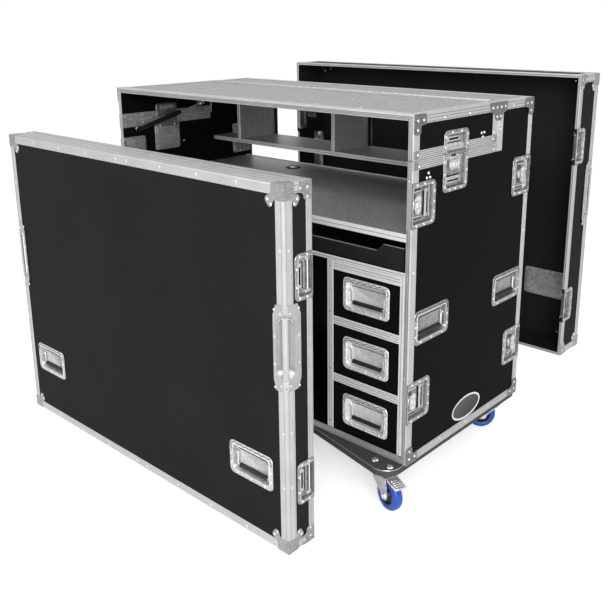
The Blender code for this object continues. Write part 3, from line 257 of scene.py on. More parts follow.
def newMaterial(name, metallic, specular):
    material = bpy.data.materials.new(name)
    material.use_nodes = True
    shader = material.node_tree.nodes["Principled BSDF"]
    shader.inputs["Metallic"].default_value = metallic
    shader.inputs["Specular IOR Level"].default_value = specular
    return material, material.node_tree, shader


def newFinish(name, effect, pattern, dark, light, metallic, rough, relief, specular=.5, spread=(.3, .7)):
    finish, tree, shader = newMaterial(name, metallic, specular)
    for label, socket in surfaceSockets(tree, effect, pattern, dark, light, rough, relief, spread).items():
        tree.links.new(socket, shader.inputs[label])
    return finish


def splitFinish(name, below, above, level, specular=.02):
    # One board with two surfaces, one under a level and the other over it, each given as newFinish has it
    finish, tree, shader = newMaterial(name, 0, specular)
    place, parts = tree.nodes.new("ShaderNodeTexCoord"), tree.nodes.new("ShaderNodeSeparateXYZ")
    tree.links.new(place.outputs["Object"], parts.inputs[0])
    mask = addMath(tree, "GREATER_THAN", parts.outputs["Z"], level)
    ends, metals = [], []
    for effect, pattern, dark, light, metallic, rough, relief, _, *spread in (below, above):
        ends.append(surfaceSockets(tree, effect, pattern, dark, light, rough, relief, *spread))
        metals.append(metallic)
    for label, kind in (("Base Color", "RGBA"), ("Roughness", "FLOAT"), ("Normal", "VECTOR")):
        blend = tree.nodes.new("ShaderNodeMix")
        blend.data_type = kind
        inputs = [s for s in blend.inputs if s.enabled]
        for socket, source in zip(inputs, (mask, ends[0][label], ends[1][label])):
            tree.links.new(source, socket)
        tree.links.new(next(s for s in blend.outputs if s.enabled), shader.inputs[label])
    metal = addMath(tree, "MULTIPLY_ADD", mask, metals[1] - metals[0], metals[0])
    tree.links.new(metal, shader.inputs["Metallic"])
    return finish


# effect, its pattern, dark, light, metallic, roughness, relief, specular and spread
filmSurface = "grain", (620, 5, .35), .0035, .0065, 0, (.46, .64), (.22, .0006), .012
laminateSurface = ("brushed", (165, (12, 1, 1), (0, 0, radians(-57))), .18, .46, .35, (.34, .48), (.05, .0004), .3,
                   (.22, .78))
zincSurface = "plated", (130, 26), .34, .56, .60, (.3, .5), (.06, .0004), .5
boardSurface = "grain", (420, 9, .5), .050, .085, 0, (.4, .6), (.2, .0005), .3
blackFilm = newFinish("black_film", *filmSurface)
coverFilm = newFinish("cover_film", "grain", (560, 4, .3), .0100, .0190, 0, (.48, .66), (.3, .0007), specular=.025)
innerBoard = newFinish("inner_board", "grain", (380, 8, .5), .0035, .0070, 0, (.5, .7), (.15, .0006), specular=.03)
silverLaminate = newFinish("silver_laminate", *laminateSurface)
edgingMetal = newFinish("edging_metal", "grain", (300, 14, .6), .37, .48, .35, (.28, .44), (.04, .0003))
# a lighter copy of the edging metal: painted light on the case's trim strips
trimMetal = newFinish("trim_metal", "grain", (300, 14, .6), .68, .80, .20, (.30, .46), (.04, .0003))
coverEdging = newFinish("cover_edging_metal", "grain", (300, 11, .6), .38, .49, .40, (.30, .46), (.04, .0003))
stampedSteel = newFinish("stamped_steel", "plated", (260, 60), .36, .54, .50, (.2, .40), (.10, .0005))
# a lighter copy of the stamped steel: painted light on the drawer dishes
drawerSteel = newFinish("drawer_dish_steel", "plated", (260, 60), .62, .82, .30, (.22, .42), (.10, .0005))
latchSteel = newFinish("latch_steel", "plated", (240, 45), .17, .31, .70, (.24, .42), (.12, .0005))
# steel of rivets, rods, bolts and pins; on raised lips and thin edges it is a painted highlight
brightSteelAndHighlight = newFinish("bright_steel_and_highlight", "grain", (500, 60, .5), .56, .74, .65, (.16, .30), (.03, .0002))
bracketSteel = newFinish("bracket_steel", "plated", (320, 40), .11, .20, .75, (.30, .46), (.1, .0004))
coverPlate = newFinish("cover_corner_plate", "plated", (300, 34), .20, .33, .60, (.28, .44), (.08, .0004))
galvanised = newFinish("galvanised_sheet", *zincSurface)
gripSteel = newFinish("grip_steel", "plated", (520, 16), .29, .40, .50, (.26, .42), (.03, .0003))
# painted shade for the floors of grooves and the slopes between ribs
ribShade = newFinish("rib_shade", "grain", (400, 20, .5), .10, .17, .3, (.4, .6), (.04, .0002))
# near black: painted shade in slots, gaps, holes and pressed lines, and the black of the lid tab's rivets
darkSlot = newFinish("dark_slot", "grain", (400, 30, .5), .004, .010, 0, (.6, .8), (.05, .0002), specular=.1)
blackSteel = newFinish("black_steel", "grain", (700, 10, .4), .010, .018, .2, (.38, .55), (.15, .0004), specular=.35)
blackPlastic = newFinish("black_plastic", "grain", (800, 40, .4), .010, .020, 0, (.35, .55), (.2, .0003), specular=.4)
rubberGrip = newFinish("rubber_grip", "grain", (1100, 60, .3), .008, .015, 0, (.5, .7), (.3, .0003), specular=.35)
blueTyre = newFinish("blue_tyre", "grain", (500, 30, .5),
                     (.005, .050, .34), (.014, .085, .46), 0, (.3, .45), (.08, .0003), specular=.4)
framedBoard = splitFinish("framed_board", filmSurface, laminateSurface, 1.0497)
casterBoard = splitFinish("caster_board", zincSurface, boardSurface, -.0003)
edgingFinishes = [edgingMetal, brightSteelAndHighlight, ribShade]
latchFinishes = [latchSteel, brightSteelAndHighlight, stampedSteel, darkSlot]
print("finishes are made")

keptNodes = (
    (framedBoard, ("case_panels", "lid_panels")), (silverLaminate, ("worktop", "rack_section")),
    (innerBoard, ("tray_shelf", "bay_divider", "drawer_cabinet")), (casterBoard, ("wheel_board",)),
    (blackFilm, ("drawer_1", "drawer_2", "drawer_3")), (coverFilm, ("front_cover_shell", "rear_cover_shell")),
    (blackSteel, ("keyboard_tray", "strut_tube_right", "strut_tube_left")),
    (brightSteelAndHighlight, ("strut_rod_right", "strut_rod_left")),
)
for finish, nodeNames in keptNodes:
    for nodeName in nodeNames:
        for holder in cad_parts[nodeName].material_slots:
            holder.material = finish


# small shapes, each a bmesh of its own until it is joined to a piece
def faceFrame(origin, out, up=(0, 0, 1)):
    # Local x runs across, y up and z out of the face
    out, up = Vector(out).normalized(), Vector(up).normalized()
    axes = Matrix((up.cross(out), up, out)).transposed().to_4x4()
    return move(origin) @ axes


def wallFrame(y, out):
    return faceFrame((0, y, 0), (0, out, 0))


def sideFrame(x, out):
    return faceFrame((x, 0, 0), (out, 0, 0))


def topFrame(z):
    return faceFrame((0, 0, z), (0, 0, 1), (0, 1, 0))


def towardFrame(origin, toward, out):
    # Local x points at the other half of the joint, z out of the face
    toward, out = Vector(toward), Vector(out)
    return move(origin) @ Matrix((toward, out.cross(toward), out)).transposed().to_4x4()


def join(shape, part, place=Matrix(), finish=None):
    if finish is not None:
        for face in part.faces:
            face.material_index = finish
    part.transform(place)
    mesh = bpy.data.meshes.new("part")
    part.to_mesh(mesh)
    part.free()
    shape.from_mesh(mesh)
    bpy.data.meshes.remove(mesh)


def soften(part, geom, offset, segments=1, affect="EDGES"):
    return bmesh.ops.bevel(part, geom=geom, offset=offset, segments=segments, profile=.5, affect=affect, material=-1)


def thicken(part, height):
    # Makes a solid of a flat outline and returns its upper corners
    raised = bmesh.ops.extrude_face_region(part, geom=part.faces[:])["geom"]
    top = [item for item in raised if isinstance(item, bmesh.types.BMVert)]
    bmesh.ops.translate(part, verts=top, vec=(0, 0, height))
    bmesh.ops.recalc_face_normals(part, faces=part.faces[:])
    return top


def grid(width, length, across=1, along=1, centre=(0, 0), level=0):
    part = bmesh.new()
    bmesh.ops.create_grid(part, x_segments=across, y_segments=along, size=.5,
                          matrix=move((*centre, level)) @ Matrix.Diagonal((width, length, 1, 1)))
    return part


def insetFace(part, face, thickness, depth):
    bmesh.ops.inset_region(part, faces=[face], thickness=thickness, depth=depth, use_boundary=True,
                           use_even_offset=True)


def oblong(x0, y0, x1, y1):
    return [(x0, y0), (x1, y0), (x1, y1), (x0, y1)]


def block(low, high, rounding=0, segments=1):
    part = bmesh.new()
    low, high = Vector(low), Vector(high)
    bmesh.ops.create_cube(part, size=1, matrix=move((low + high) / 2) @ Matrix.Diagonal((*(high - low), 1)))
    if rounding:
        soften(part, part.edges[:], rounding, segments)
    return part


def plate(outline, low, high, corners=0, sharp=(), edge=0):
    # Flat sheet cut to an outline; sharp lists the corners that stay sharp
    part = bmesh.new()
    verts = [part.verts.new((x, y, low)) for x, y in outline]
    part.faces.new(verts)
    if corners:
        soften(part, [v for i, v in enumerate(verts) if i not in sharp], corners, 3, "VERTICES")
    top = thicken(part, high - low)
    if edge:
        rim = [e for e in part.edges if all(v in top for v in e.verts)]
        soften(part, rim, edge)
    return part


def rod(start, end, radius, sides=12):
    start, end = Vector(start), Vector(end)
    part = bmesh.new()
    turn = (end - start).to_track_quat("Z", "Y").to_matrix().to_4x4()
    bmesh.ops.create_cone(part, cap_ends=True, segments=sides, radius1=radius, radius2=radius,
                          depth=(end - start).length)
    part.transform(move((start + end) / 2) @ turn)
    return part


def turned(profile, steps=24, closed=False):
    # Profile of (radius, height), spun round local z
    part = bmesh.new()
    verts = [part.verts.new((radius, 0, height)) for radius, height in profile]
    edges = [part.edges.new(pair) for pair in zip(verts, verts[1:] + (verts[:1] if closed else []))]
    bmesh.ops.spin(part, geom=verts + edges, cent=(0, 0, 0), axis=(0, 0, 1), dvec=(0, 0, 0), angle=tau, steps=steps,
                   use_merge=True)
    bmesh.ops.remove_doubles(part, verts=part.verts[:], dist=1e-6)
    bmesh.ops.recalc_face_normals(part, faces=part.faces[:])
    return part


def mirroredProfile(profile):
    return profile + [(radius, -height) for radius, height in profile[::-1]]


def tube(points, radius, sides=2):
    # Round wire along a path; sides is the curve's bevel resolution
    curve = bpy.data.curves.new("wire", "CURVE")
    curve.dimensions = "3D"
    curve.bevel_depth, curve.bevel_resolution, curve.use_fill_caps = radius, sides, True
    spline = curve.splines.new("POLY")
    spline.points.add(len(points) - 1)
    for point, place in zip(spline.points, points):
        point.co = (*place, 1)
    holder = bpy.data.objects.new("wire", curve)
    mesh = bpy.data.meshes.new_from_object(holder)
    part = bmesh.new()
    part.from_mesh(mesh)
    bmesh.ops.remove_doubles(part, verts=part.verts[:], dist=1e-7)
    bmesh.ops.recalc_face_normals(part, faces=part.faces[:])
    bpy.data.objects.remove(holder)
    bpy.data.curves.remove(curve)
    bpy.data.meshes.remove(mesh)
    return part


def roundedPath(points, radius, steps=4):
    points = [Vector(p) for p in points]
    path = [points[0]]
    for before, corner, after in zip(points, points[1:], points[2:]):
        start = corner + (before - corner).normalized() * radius
        end = corner + (after - corner).normalized() * radius
        for i in range(steps + 1):
            t = i / steps
            path.append(start * (1 - t) ** 2 + corner * 2 * t * (1 - t) + end * t ** 2)
    return path + [points[-1]]


def addRivets(shape, place, spots, radius=.0044, rise=.0019):
    # Round heads, in the piece's second finish
    for x, y in spots:
        matrix = place @ move((x, y, 0)) @ Matrix.Diagonal((radius, radius, rise, 1))
        made = bmesh.ops.create_uvsphere(shape, u_segments=10, v_segments=6, radius=1, matrix=matrix)["verts"]
        for face in {f for v in made for f in v.link_faces}:
            face.material_index = 1


def ribbedStrip(width, length, rise, ribs, ridge=.0010, gap=.0016):
    # Flat strip in local xy from its corner, ribbed along y
    part = grid(width, length, ribs, centre=(width / 2, length / 2))
    raised = bmesh.ops.extrude_face_region(part, geom=part.faces[:])["geom"]
    tops = [item for item in raised if isinstance(item, bmesh.types.BMFace)]
    bmesh.ops.translate(part, verts=list({v for f in tops for v in f.verts}), vec=(0, 0, rise - ridge))
    bmesh.ops.recalc_face_normals(part, faces=part.faces[:])
    bmesh.ops.inset_individual(part, faces=tops, thickness=gap / 2, depth=ridge, use_even_offset=True)
    for face in set(part.faces) - set(tops):
        # slopes between two ribs get painted shade
        middle = face.calc_center_median()
        if middle.z > rise - ridge and gap < middle.x < width - gap and abs(face.normal.x) > .3:
            face.material_index = 2
    return part


def addEdging(shape, start, end, outA, outB, legA, legB, grooves=(4, 3), mitre=(True, True), corner=.004,
              groove=(.0017, .0011)):
    # Angle section along an edge of a box. legA is the strip on the face that looks along outA. grooves counts
    # those of each leg, groove is their width and depth, and mitre says which ends are cut slantwise
    start, end, outA, outB = Vector(start), Vector(end), Vector(outA), Vector(outB)
    along = outA.cross(outB)
    if (end - start).dot(along) < 0:
        start, end, mitre = end, start, mitre[::-1]
    (slit, sunk), wall = groove, edging["wall"]
    side, cap = [(0, -legA + .0006)], [(-legB + .0006, 0)]
    for leg, count, points, turn in ((legA, grooves[0], side, False), (legB, grooves[1], cap, True)):
        first, last = corner + .003, leg - .004
        spots = [first + (last - first) * i / max(count - 1, 1) for i in range(count)]
        for spot in reversed(spots):
            cut = [(0, -spot - slit / 2), (-sunk, -spot - slit / 3), (-sunk, -spot + slit / 3), (0, -spot + slit / 2)]
            points += [(b, a) for a, b in cut] if turn else cut
    outline = ([(-.0006, -legA)] + side + [(0, 0)] + cap[::-1]
               + [(-legB, -.0006), (-legB, -wall), (-wall, -wall), (-wall, -legA)])
    part = bmesh.new()
    verts = [part.verts.new((u, v, 0)) for u, v in outline]
    part.faces.new(verts)
    soften(part, [verts[len(side) + 1]], corner, 3, "VERTICES")
    made = bmesh.ops.extrude_face_region(part, geom=part.faces[:])["geom"]
    far = {item for item in made if isinstance(item, bmesh.types.BMVert)}
    length = (end - start).length
    reach = edging["sideLeg"] if max(legA, legB) > .05 else 1
    for vert in part.verts:
        away = min(max(-vert.co.x, -vert.co.y), reach)
        if vert in far:
            vert.co.z = length - (away if mitre[1] else 0)
        elif mitre[0]:
            vert.co.z = away
    bmesh.ops.recalc_face_normals(part, faces=part.faces[:])
    for face in part.faces:
        # floors of the grooves get painted shade, a darker metal
        middle, normal = face.calc_center_median(), face.normal
        if (abs(middle.x + sunk) < 2e-5 and normal.x > .9) or (abs(middle.y + sunk) < 2e-5 and normal.y > .9):
            face.material_index = 2
    join(shape, part, move(start) @ Matrix((outA, outB, along)).transposed().to_4x4())


def finishPiece(name, shape, finishes, body, slotName, replaced=()):
    mesh = bpy.data.meshes.new(name)
    shape.to_mesh(mesh)
    shape.free()
    for finish in finishes:
        mesh.materials.append(finish)
    mesh.shade_smooth()
    mesh.set_sharp_from_angle(angle=radians(38))
    piece = bpy.data.objects.new(name, mesh)
    bpy.context.scene.collection.objects.link(piece)
    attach(piece, body)
    if replaced:
        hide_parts(*replaced)


# edging of the case and the lid, with the size of the latches that it leaves room for
latch = {"length": .112, "height": .128, "keeper": .066, "flange": .013, "mouth": .003, "floor": -.0128,
         "pivot": .035, "corner": .016, "seat": .6746}
edging = {"sideLeg": .028, "frontLeg": .018, "lowLeg": .025, "band": .026, "arm": .030, "inward": .0108, "gap": .0005,
          "wall": .0016, "hingeGap": .0035, "hingeLeg": .024, "hingeLip": .0105, "upright": (.0027, .0009),
          "rivet": .0042}


def rivetRow(first, last, pitch):
    count = max(round((last - first) / pitch), 1)
    return [first + (last - first) * i / count for i in range(count + 1)]


def latchGaps(low, high, places):
    # Stretches of a run from low to high that the recessed latches at places leave
    half = latch["height"] / 2 + edging["gap"]
    ends = [low] + [place + d for place in places for d in (-half, half)] + [high]
    return list(zip(ends[::2], ends[1::2]))


def addJointEdging(shape, d):
    # Edging along the parting line and the hinge, on the case where d is 1 and on the lid where it is -1
    wide, deep, top, part = case["halfX"], case["halfY"], case["top"], case["part"] - d * edging["gap"]
    sideLeg, band, arm, inward = (edging[k] for k in ("sideLeg", "band", "arm", "inward"))
    armY, hingeEdge = case["hingeY"] + d * edging["gap"], case["hingeY"] + d * edging["hingeGap"]
    armFoot = part - band if d > 0 else part
    blunt = (False, False)
    for s in (1, -1):
        out = (s, 0, 0)
        for y0, y1 in latchGaps(-deep, armY, [case["lidLatchY"]]):
            addEdging(shape, (s * wide, y0, part), (s * wide, y1, part), out, (0, 0, d), band, inward, (4, 0), blunt,
                      corner=.002)
        addEdging(shape, (s * wide, armY, armFoot), (s * wide, armY, top), out, (0, -d, 0), arm, inward, (4, 0),
                  blunt, corner=.002, groove=edging["upright"])
        addEdging(shape, (s * wide, hingeEdge, top), (s * wide, d * deep, top), out, (0, 0, 1), sideLeg, sideLeg,
                  (3, 3), (False, True))
    addEdging(shape, (-wide + sideLeg, hingeEdge, top), (wide - sideLeg, hingeEdge, top), (0, 0, 1), (0, -d, 0),
              edging["hingeLeg"], edging["hingeLip"], (3, 0), blunt, corner=.001)


def makeCaseEdging():
    shape = bmesh.new()
    wide, deep, low, top, part = case["halfX"], case["halfY"], case["low"], case["top"], case["part"] - edging["gap"]
    sideLeg, frontLeg = edging["sideLeg"], edging["frontLeg"]
    addJointEdging(shape, 1)
    for s in (1, -1):
        out = (s, 0, 0)
        addEdging(shape, (s * wide, -deep, low), (s * wide, deep, low), out, (0, 0, -1), sideLeg, sideLeg, (3, 2))
        for y, high in ((-deep, part), (deep, top)):
            for z0, z1 in latchGaps(low, high, case["latchZ"]):
                addEdging(shape, (s * wide, y, z0), (s * wide, y, z1), out, (0, y / deep, 0), sideLeg, frontLeg,
                          (3, 2), (z0 == low, z1 == high and y > 0), groove=edging["upright"])
            # the front leg alone runs on past a latch, as a flat
            x0, x1 = sorted((-s * y / deep * (wide - frontLeg), -s * y / deep * (wide - .0022)))
            for z in case["latchZ"]:
                join(shape, plate(oblong(x0, z - .065, x1, z + .065), -.0016, -.0003), wallFrame(y, y / deep))
        spots = [(s * y, low + .017) for y in rivetRow(-.149, .141, .145)]
        spots += [(s * y, part - .017) for y in (-.301, .093)] + [(s * y, top - .017) for y in (.2, .3)]
        spots += [(s * (case["hingeY"] + edging["gap"] + .015), .977), (s * -.314, .62), (s * .314, .62)]
        addRivets(shape, sideFrame(s * wide, s), spots, edging["rivet"])
        addRivets(shape, wallFrame(-deep, -1), [(s * (wide - .0125), z) for z in (.3, .6, .88)], .003, .0012)
        addRivets(shape, wallFrame(deep, 1), [(s * (wide - .0125), z) for z in rivetRow(.1, 1.0, .15)], .004, .0008)
    lowLeg = edging["lowLeg"]
    for y, z, up, leg in ((-deep, low, -1, lowLeg), (deep, low, -1, lowLeg), (deep, top, 1, frontLeg)):
        outY = 1 if y > 0 else -1
        addEdging(shape, (-wide, y, z), (wide, y, z), (0, outY, 0), (0, 0, up), leg, sideLeg, (2, 3))
        spots = [(x * outY * -1, z - up * .0145) for x in rivetRow(-.6, .6, .2)]
        addRivets(shape, wallFrame(y, outY), spots, .0032, .0012)
    finishPiece("case_edging", shape, edgingFinishes, "case", "extrusion", ["case_metalwork"])


def makeLidEdging():
    shape = bmesh.new()
    wide, deep, top, part = case["halfX"], case["halfY"], case["top"], case["part"] + edging["gap"]
    sideLeg, frontLeg = edging["sideLeg"], edging["frontLeg"]
    addJointEdging(shape, -1)
    for s in (1, -1):
        addEdging(shape, (s * wide, -deep, part), (s * wide, -deep, top), (s, 0, 0), (0, -1, 0), sideLeg, frontLeg,
                  (3, 2), (False, True), groove=edging["upright"])
        spots = [(s * -.308, .951), (s * -.183, 1.041), (s * -.053, 1.041), (s * .086, .972), (s * .086, .951)]
        addRivets(shape, sideFrame(s * wide, s), spots, edging["rivet"])
        addRivets(shape, topFrame(top), [(s * (wide - .016), y) for y in rivetRow(-.29, .06, .175)], .0036, .0012)
    addEdging(shape, (-wide, -deep, top), (wide, -deep, top), (0, -1, 0), (0, 0, 1), frontLeg, sideLeg, (3, 3))
    addRivets(shape, topFrame(top), [(x, -deep + .016) for x in rivetRow(-.6, .6, .2)], .0036, .0012)
    # screws of what hangs under the lid
    for x, y in ((.285, -.286), (.286, -.115), (.447, -.276), (.427, -.099)):
        screw = turned([(0, 0), (.0042, 0), (.0034, .0011), (.0012, .0014), (.0010, .0006), (0, .0006)], 12)
        join(shape, screw, move((x, y, top - .0014)), 1)
    finishPiece("lid_edging", shape, edgingFinishes, "lid", "extrusion", ["lid_metalwork"])


# corner brackets
bracket = {"leg": .056, "width": .031, "rise": .0024, "round": .008,
           "spots": ((.016, .018), (.016, .043), (.043, .018))}


def cornerBracket(shape, place, corner, dirs, rise=None, leg=None, rivetRise=.0019):
    # L-shaped plate in the place's local xy, its outer corner at corner
    leg, width, rise = leg or bracket["leg"], bracket["width"], rise or bracket["rise"]
    (cx, cy), (dx, dy) = corner, dirs
    points = [(0, 0), (leg, 0), (leg, width), (width, width), (width, leg), (0, leg)]
    part = plate([(cx + dx * a, cy + dy * b) for a, b in points], 0, rise, bracket["round"], (0,), .0006)
    join(shape, part, place)
    spots = [(cx + dx * a, cy + dy * b) for a, b in bracket["spots"]] if rivetRise else []
    addRivets(shape, place @ move((0, 0, rise)), spots, .0044, rivetRise)


def earPlate(shape, place, corner, dirs, squeeze, rise):
    # One side of a cover's pressed corner, with an ear that laps over the panel
    (cx, cy), (dx, dy) = corner, dirs
    points = [(0, 0), (.043, 0), (.044, .027), (.061, .034), (.065, .043), (.053, .061), (.042, .062), (.034, .043),
              (0, .043)]
    part = plate([(cx + dx * squeeze * a, cy + dy * b) for a, b in points], 0, rise, .0045, (0,), .0005)
    join(shape, part, place)
    spots = [(cx + dx * squeeze * a, cy + dy * b) for a, b in ((.0555, .0425), (.0435, .0545))]
    addRivets(shape, place @ move((0, 0, rise)), spots, .0046, .0014)


def makeBrackets():
    wide, deep, low, top, hingeY = (case[k] for k in ("halfX", "halfY", "low", "top", "hingeY"))
    onCase, onLid = bmesh.new(), bmesh.new()
    for s in (1, -1):
        place = sideFrame(s * (wide - .0003), s)
        for y, z, dy, dz in ((-deep, low, 1, 1), (deep, low, -1, 1), (deep, top, -1, -1)):
            cornerBracket(onCase, place, (s * y, z), (s * dy, dz))
        cornerBracket(onLid, place, (s * -deep, top), (s, -1))
        # the two halves of the T over the hinge's end, three rivets each
        for shape, d in ((onCase, 1), (onLid, -1)):
            y = hingeY + d * .0006
            points = [(0, 0), (.052, 0), (.046, .030), (.024, .036), (.016, .056), (0, .056)]
            part = plate([(s * (y + d * a), top - b) for a, b in points], 0, .0024, .005, (0, 5), .0005)
            join(shape, part, place)
            spots = [(s * (y + d * a), top - b) for a, b in ((.012, .016), (.036, .016), (.010, .044))]
            addRivets(shape, place @ move((0, 0, .0024)), spots)
        # three bolt heads over each ball stud of the struts
        for shape, (y, z), d in ((onCase, (-.253, .886), 1), (onLid, (.026, .972), -1)):
            cluster = [(s * y, z + d * .0085), (s * (y - .0078), z - d * .0045), (s * (y + .0078), z - d * .0045)]
            addRivets(shape, sideFrame(s * (wide - .0016), s), cluster, .0046, .0024)
    # bolts on the inside of the left wall; what they hold is out of sight
    inside = sideFrame(-case["inside"], 1)
    addRivets(onCase, inside, [(-.038, .832), (.227, .795), (.235, .759), (.271, .755)], .0042, .0022)
    finishPiece("case_brackets", onCase, [bracketSteel, brightSteelAndHighlight], "case", "stamped_steel")
    finishPiece("lid_brackets", onLid, [bracketSteel, brightSteelAndHighlight], "lid", "stamped_steel")


# recessed latches
def dish(width, height, corner, loops, centre=(0, 0), mouth=None):
    # Stamped dish of rounded outlines, each inset from the rim and at its own level with its own corner radius.
    # mouth is (flange, lip): on the +x side the flange is only as wide as the lip
    part = grid(width, height, centre=centre)
    soften(part, part.verts[:], corner, 4, "VERTICES")
    floor = part.faces[:][0]
    bends = []
    for vert in floor.verts:
        x, y = vert.co.x - centre[0], vert.co.y - centre[1]
        sx, sy = (1 if x > 0 else -1), (1 if y > 0 else -1)
        bends.append((sx, sy, (x - sx * (width / 2 - corner)) / corner, (y - sy * (height / 2 - corner)) / corner))

    def lay(inset, level, radius):
        for vert, (sx, sy, ax, ay) in zip(floor.verts, bends):
            inward, turn = inset, radius
            if mouth and sx > 0:
                flange, lip = mouth
                inward = lip * inset / flange if inset < flange else lip + inset - flange
                turn = min(radius, .006)
            vert.co = (centre[0] + sx * (width / 2 - inward - turn) + ax * turn,
                       centre[1] + sy * (height / 2 - inset - turn) + ay * turn, level)

    lay(0, 0, corner)
    for inset, level, radius in loops:
        insetFace(part, floor, .0001, 0)
        lay(inset, level, radius)
    bmesh.ops.solidify(part, geom=part.faces[:], thickness=.0007)
    bmesh.ops.recalc_face_normals(part, faces=part.faces[:])
    return part


def backLoops(rise):
    # Back of a dish, pressed out of a flat sheet
    return (.001, .0008, .008), (.009, .0008, .007), (.012, rise, .006), (.014, rise + .0004, .005)


def paintRise(part, low, finish):
    # Paints a highlight: the faces that stand higher than low get a brighter finish
    for face in part.faces:
        if face.calc_center_median().z > low:
            face.material_index = finish


def latchDish(length):
    flange, floor = latch["flange"], latch["floor"]
    loops = ((.0012, .0016, .016), (flange - .004, .0016, .012), (flange - .0026, .0024, .011),
             (flange - .0014, .0024, .010), (flange, .0002, .009), (flange + .0016, floor + .0022, .008),
             (flange + .0045, floor, .006))
    part = dish(length, latch["height"], latch["corner"], loops, (-length / 2, 0), (flange, latch["mouth"]))
    # the raised lip gets the inner sheet's lighter finish, a painted highlight
    paintRise(part, .00195, 2)
    return part


def addLatch(shape, place):
    # Case half of a butterfly latch, without its wing. Finishes: 0 flange, 1 bright lip, 2 inner sheet, also a
    # painted highlight on the dish's raised lip, 3 dark, painted shade in slots and gaps
    length, half, pivot, floor = latch["length"], latch["height"] / 2, latch["pivot"], latch["floor"]
    join(shape, latchDish(length), place)
    spots = [(x, s * (half - inset)) for x, inset in ((-.022, .0065), (-.058, .0065), (-.094, .010)) for s in (1, -1)]
    spots += [(-length + .0065, y) for y in (-.030, 0, .030)]
    addRivets(shape, place @ move((0, 0, .0018)), spots, .0042, .0017)
    # stepped rear of the pocket with its dark slot of painted shade
    join(shape, block((-length + .022, -.040, floor - .001), (-.070, .040, floor + .0045), .0016, 2), place, 2)
    join(shape, block((-length + .027, -.030, floor + .004), (-length + .032, .030, floor + .0048)), place, 3)
    join(shape, plate(oblong(-.0690, -.034, -.0675, .034), floor, floor + .0038), place, 3)
    # turning seat, hook plate and its guide bars
    seat = turned([(0, floor), (.0185, floor), (.0185, floor + .0035), (.0170, floor + .005), (.0125, floor + .005),
                   (.0118, floor + .0042), (0, floor + .0042)], 24)
    join(shape, seat, place @ move((-pivot, 0, 0)), 1)
    hook = plate([(-pivot - .020, 0), (-pivot - .006, -.022), (-.010, -.013), (-.0045, -.012), (-.0045, .012),
                  (-.010, .013), (-pivot - .006, .022)], floor + .0016, floor + .0036, .004, (), .0005)
    join(shape, hook, place, 2)
    for s in (1, -1):
        join(shape, tube(roundedPath([(-.012, s * .044, floor), (-.012, s * .044, floor + .006),
                                      (-.012, s * .019, floor + .006), (-.012, s * .019, floor)], .003), .0018),
             place, 1)
        join(shape, block((-.060, s * .0360 - .0016, floor - .001), (-.018, s * .0360 + .0016, floor + .0030), .0008),
             place, 1)
        # dark strip beside each guide bar: a painted shadow
        join(shape, block((-.0605, s * .0405 - .0012, floor), (-.020, s * .0405 + .0012, floor + .0006)), place, 3)
    join(shape, block((-.0052, -.050, floor - .0005), (-.0022, .050, floor + .0042), .0008), place, 1)


def addKeeper(shape, place):
    # Cover half: shallow dish with the bar that the hook draws on
    length, half, floor = latch["keeper"], latch["height"] / 2, latch["floor"]
    join(shape, latchDish(length), place)
    spots = [(x, s * (half - inset)) for x, inset in ((-.020, .0065), (-.048, .0075)) for s in (1, -1)]
    spots += [(-length + .0065, y) for y in (-.024, .024)]
    addRivets(shape, place @ move((0, 0, .0018)), spots, .0042, .0017)
    for s in (1, -1):
        join(shape, block((-.022, s * .046 - .006, floor - .001), (-.003, s * .046 + .006, floor + .0072), .002, 2),
             place, 2)
    join(shape, rod((-.011, -.046, floor + .0048), (-.011, .046, floor + .0048), .0024, 10), place, 1)
    join(shape, block((-.046, -.034, floor - .001), (-.030, .034, floor + .0028), .0012), place, 2)
    # dark strips in the keeper's pocket: painted shade
    join(shape, block((-.0285, -.036, floor), (-.0245, .036, floor + .0008)), place, 3)
    join(shape, block((-.041, -.024, floor + .0025), (-.035, .024, floor + .0032)), place, 3)


def latchPlaces():
    places = []
    wide, deep = latch["seat"], case["halfY"]
    for side, s in (("right", 1), ("left", -1)):
        for end, y in (("front", -deep), ("rear", deep)):
            for level, z in zip(("lower", "upper"), case["latchZ"]):
                local = towardFrame((s * wide, y, z), (0, y / deep, 0), (s, 0, 0))
                places.append((f"wing_{side}_{end}_{level}", local))
        local = towardFrame((s * wide, case["lidLatchY"], case["part"]), (0, 0, 1), (s, 0, 0))
        places.append((f"wing_lid_{side}", local))
    return places


def addWing(shape, place):
    # Folding butterfly wing round a lock boss
    outline = []
    for i in range(28):
        turn = tau * i / 28
        reach = .0105 + .0172 * abs(sin(turn)) ** 1.4
        outline.append((reach * cos(turn), reach * sin(turn)))
    join(shape, plate(outline, -.0058, -.0028, 0, (), .0008), place)
    for s in (1, -1):
        join(shape, plate([(-.007, s * .012), (.007, s * .012), (.005, s * .0235), (-.005, s * .0235)], -.0029,
                          -.0020, .002), place, 1)
    boss = turned([(0, -.0125), (.0088, -.0125), (.0088, -.0022), (.0076, -.0010), (.0050, -.0010), (.0046, -.0016),
                   (0, -.0016)], 20)
    join(shape, boss, place, 1)
    # dark slit across the boss: painted shade
    join(shape, block((-.0008, -.0036, -.0017), (.0008, .0036, -.0009)), place, 2)


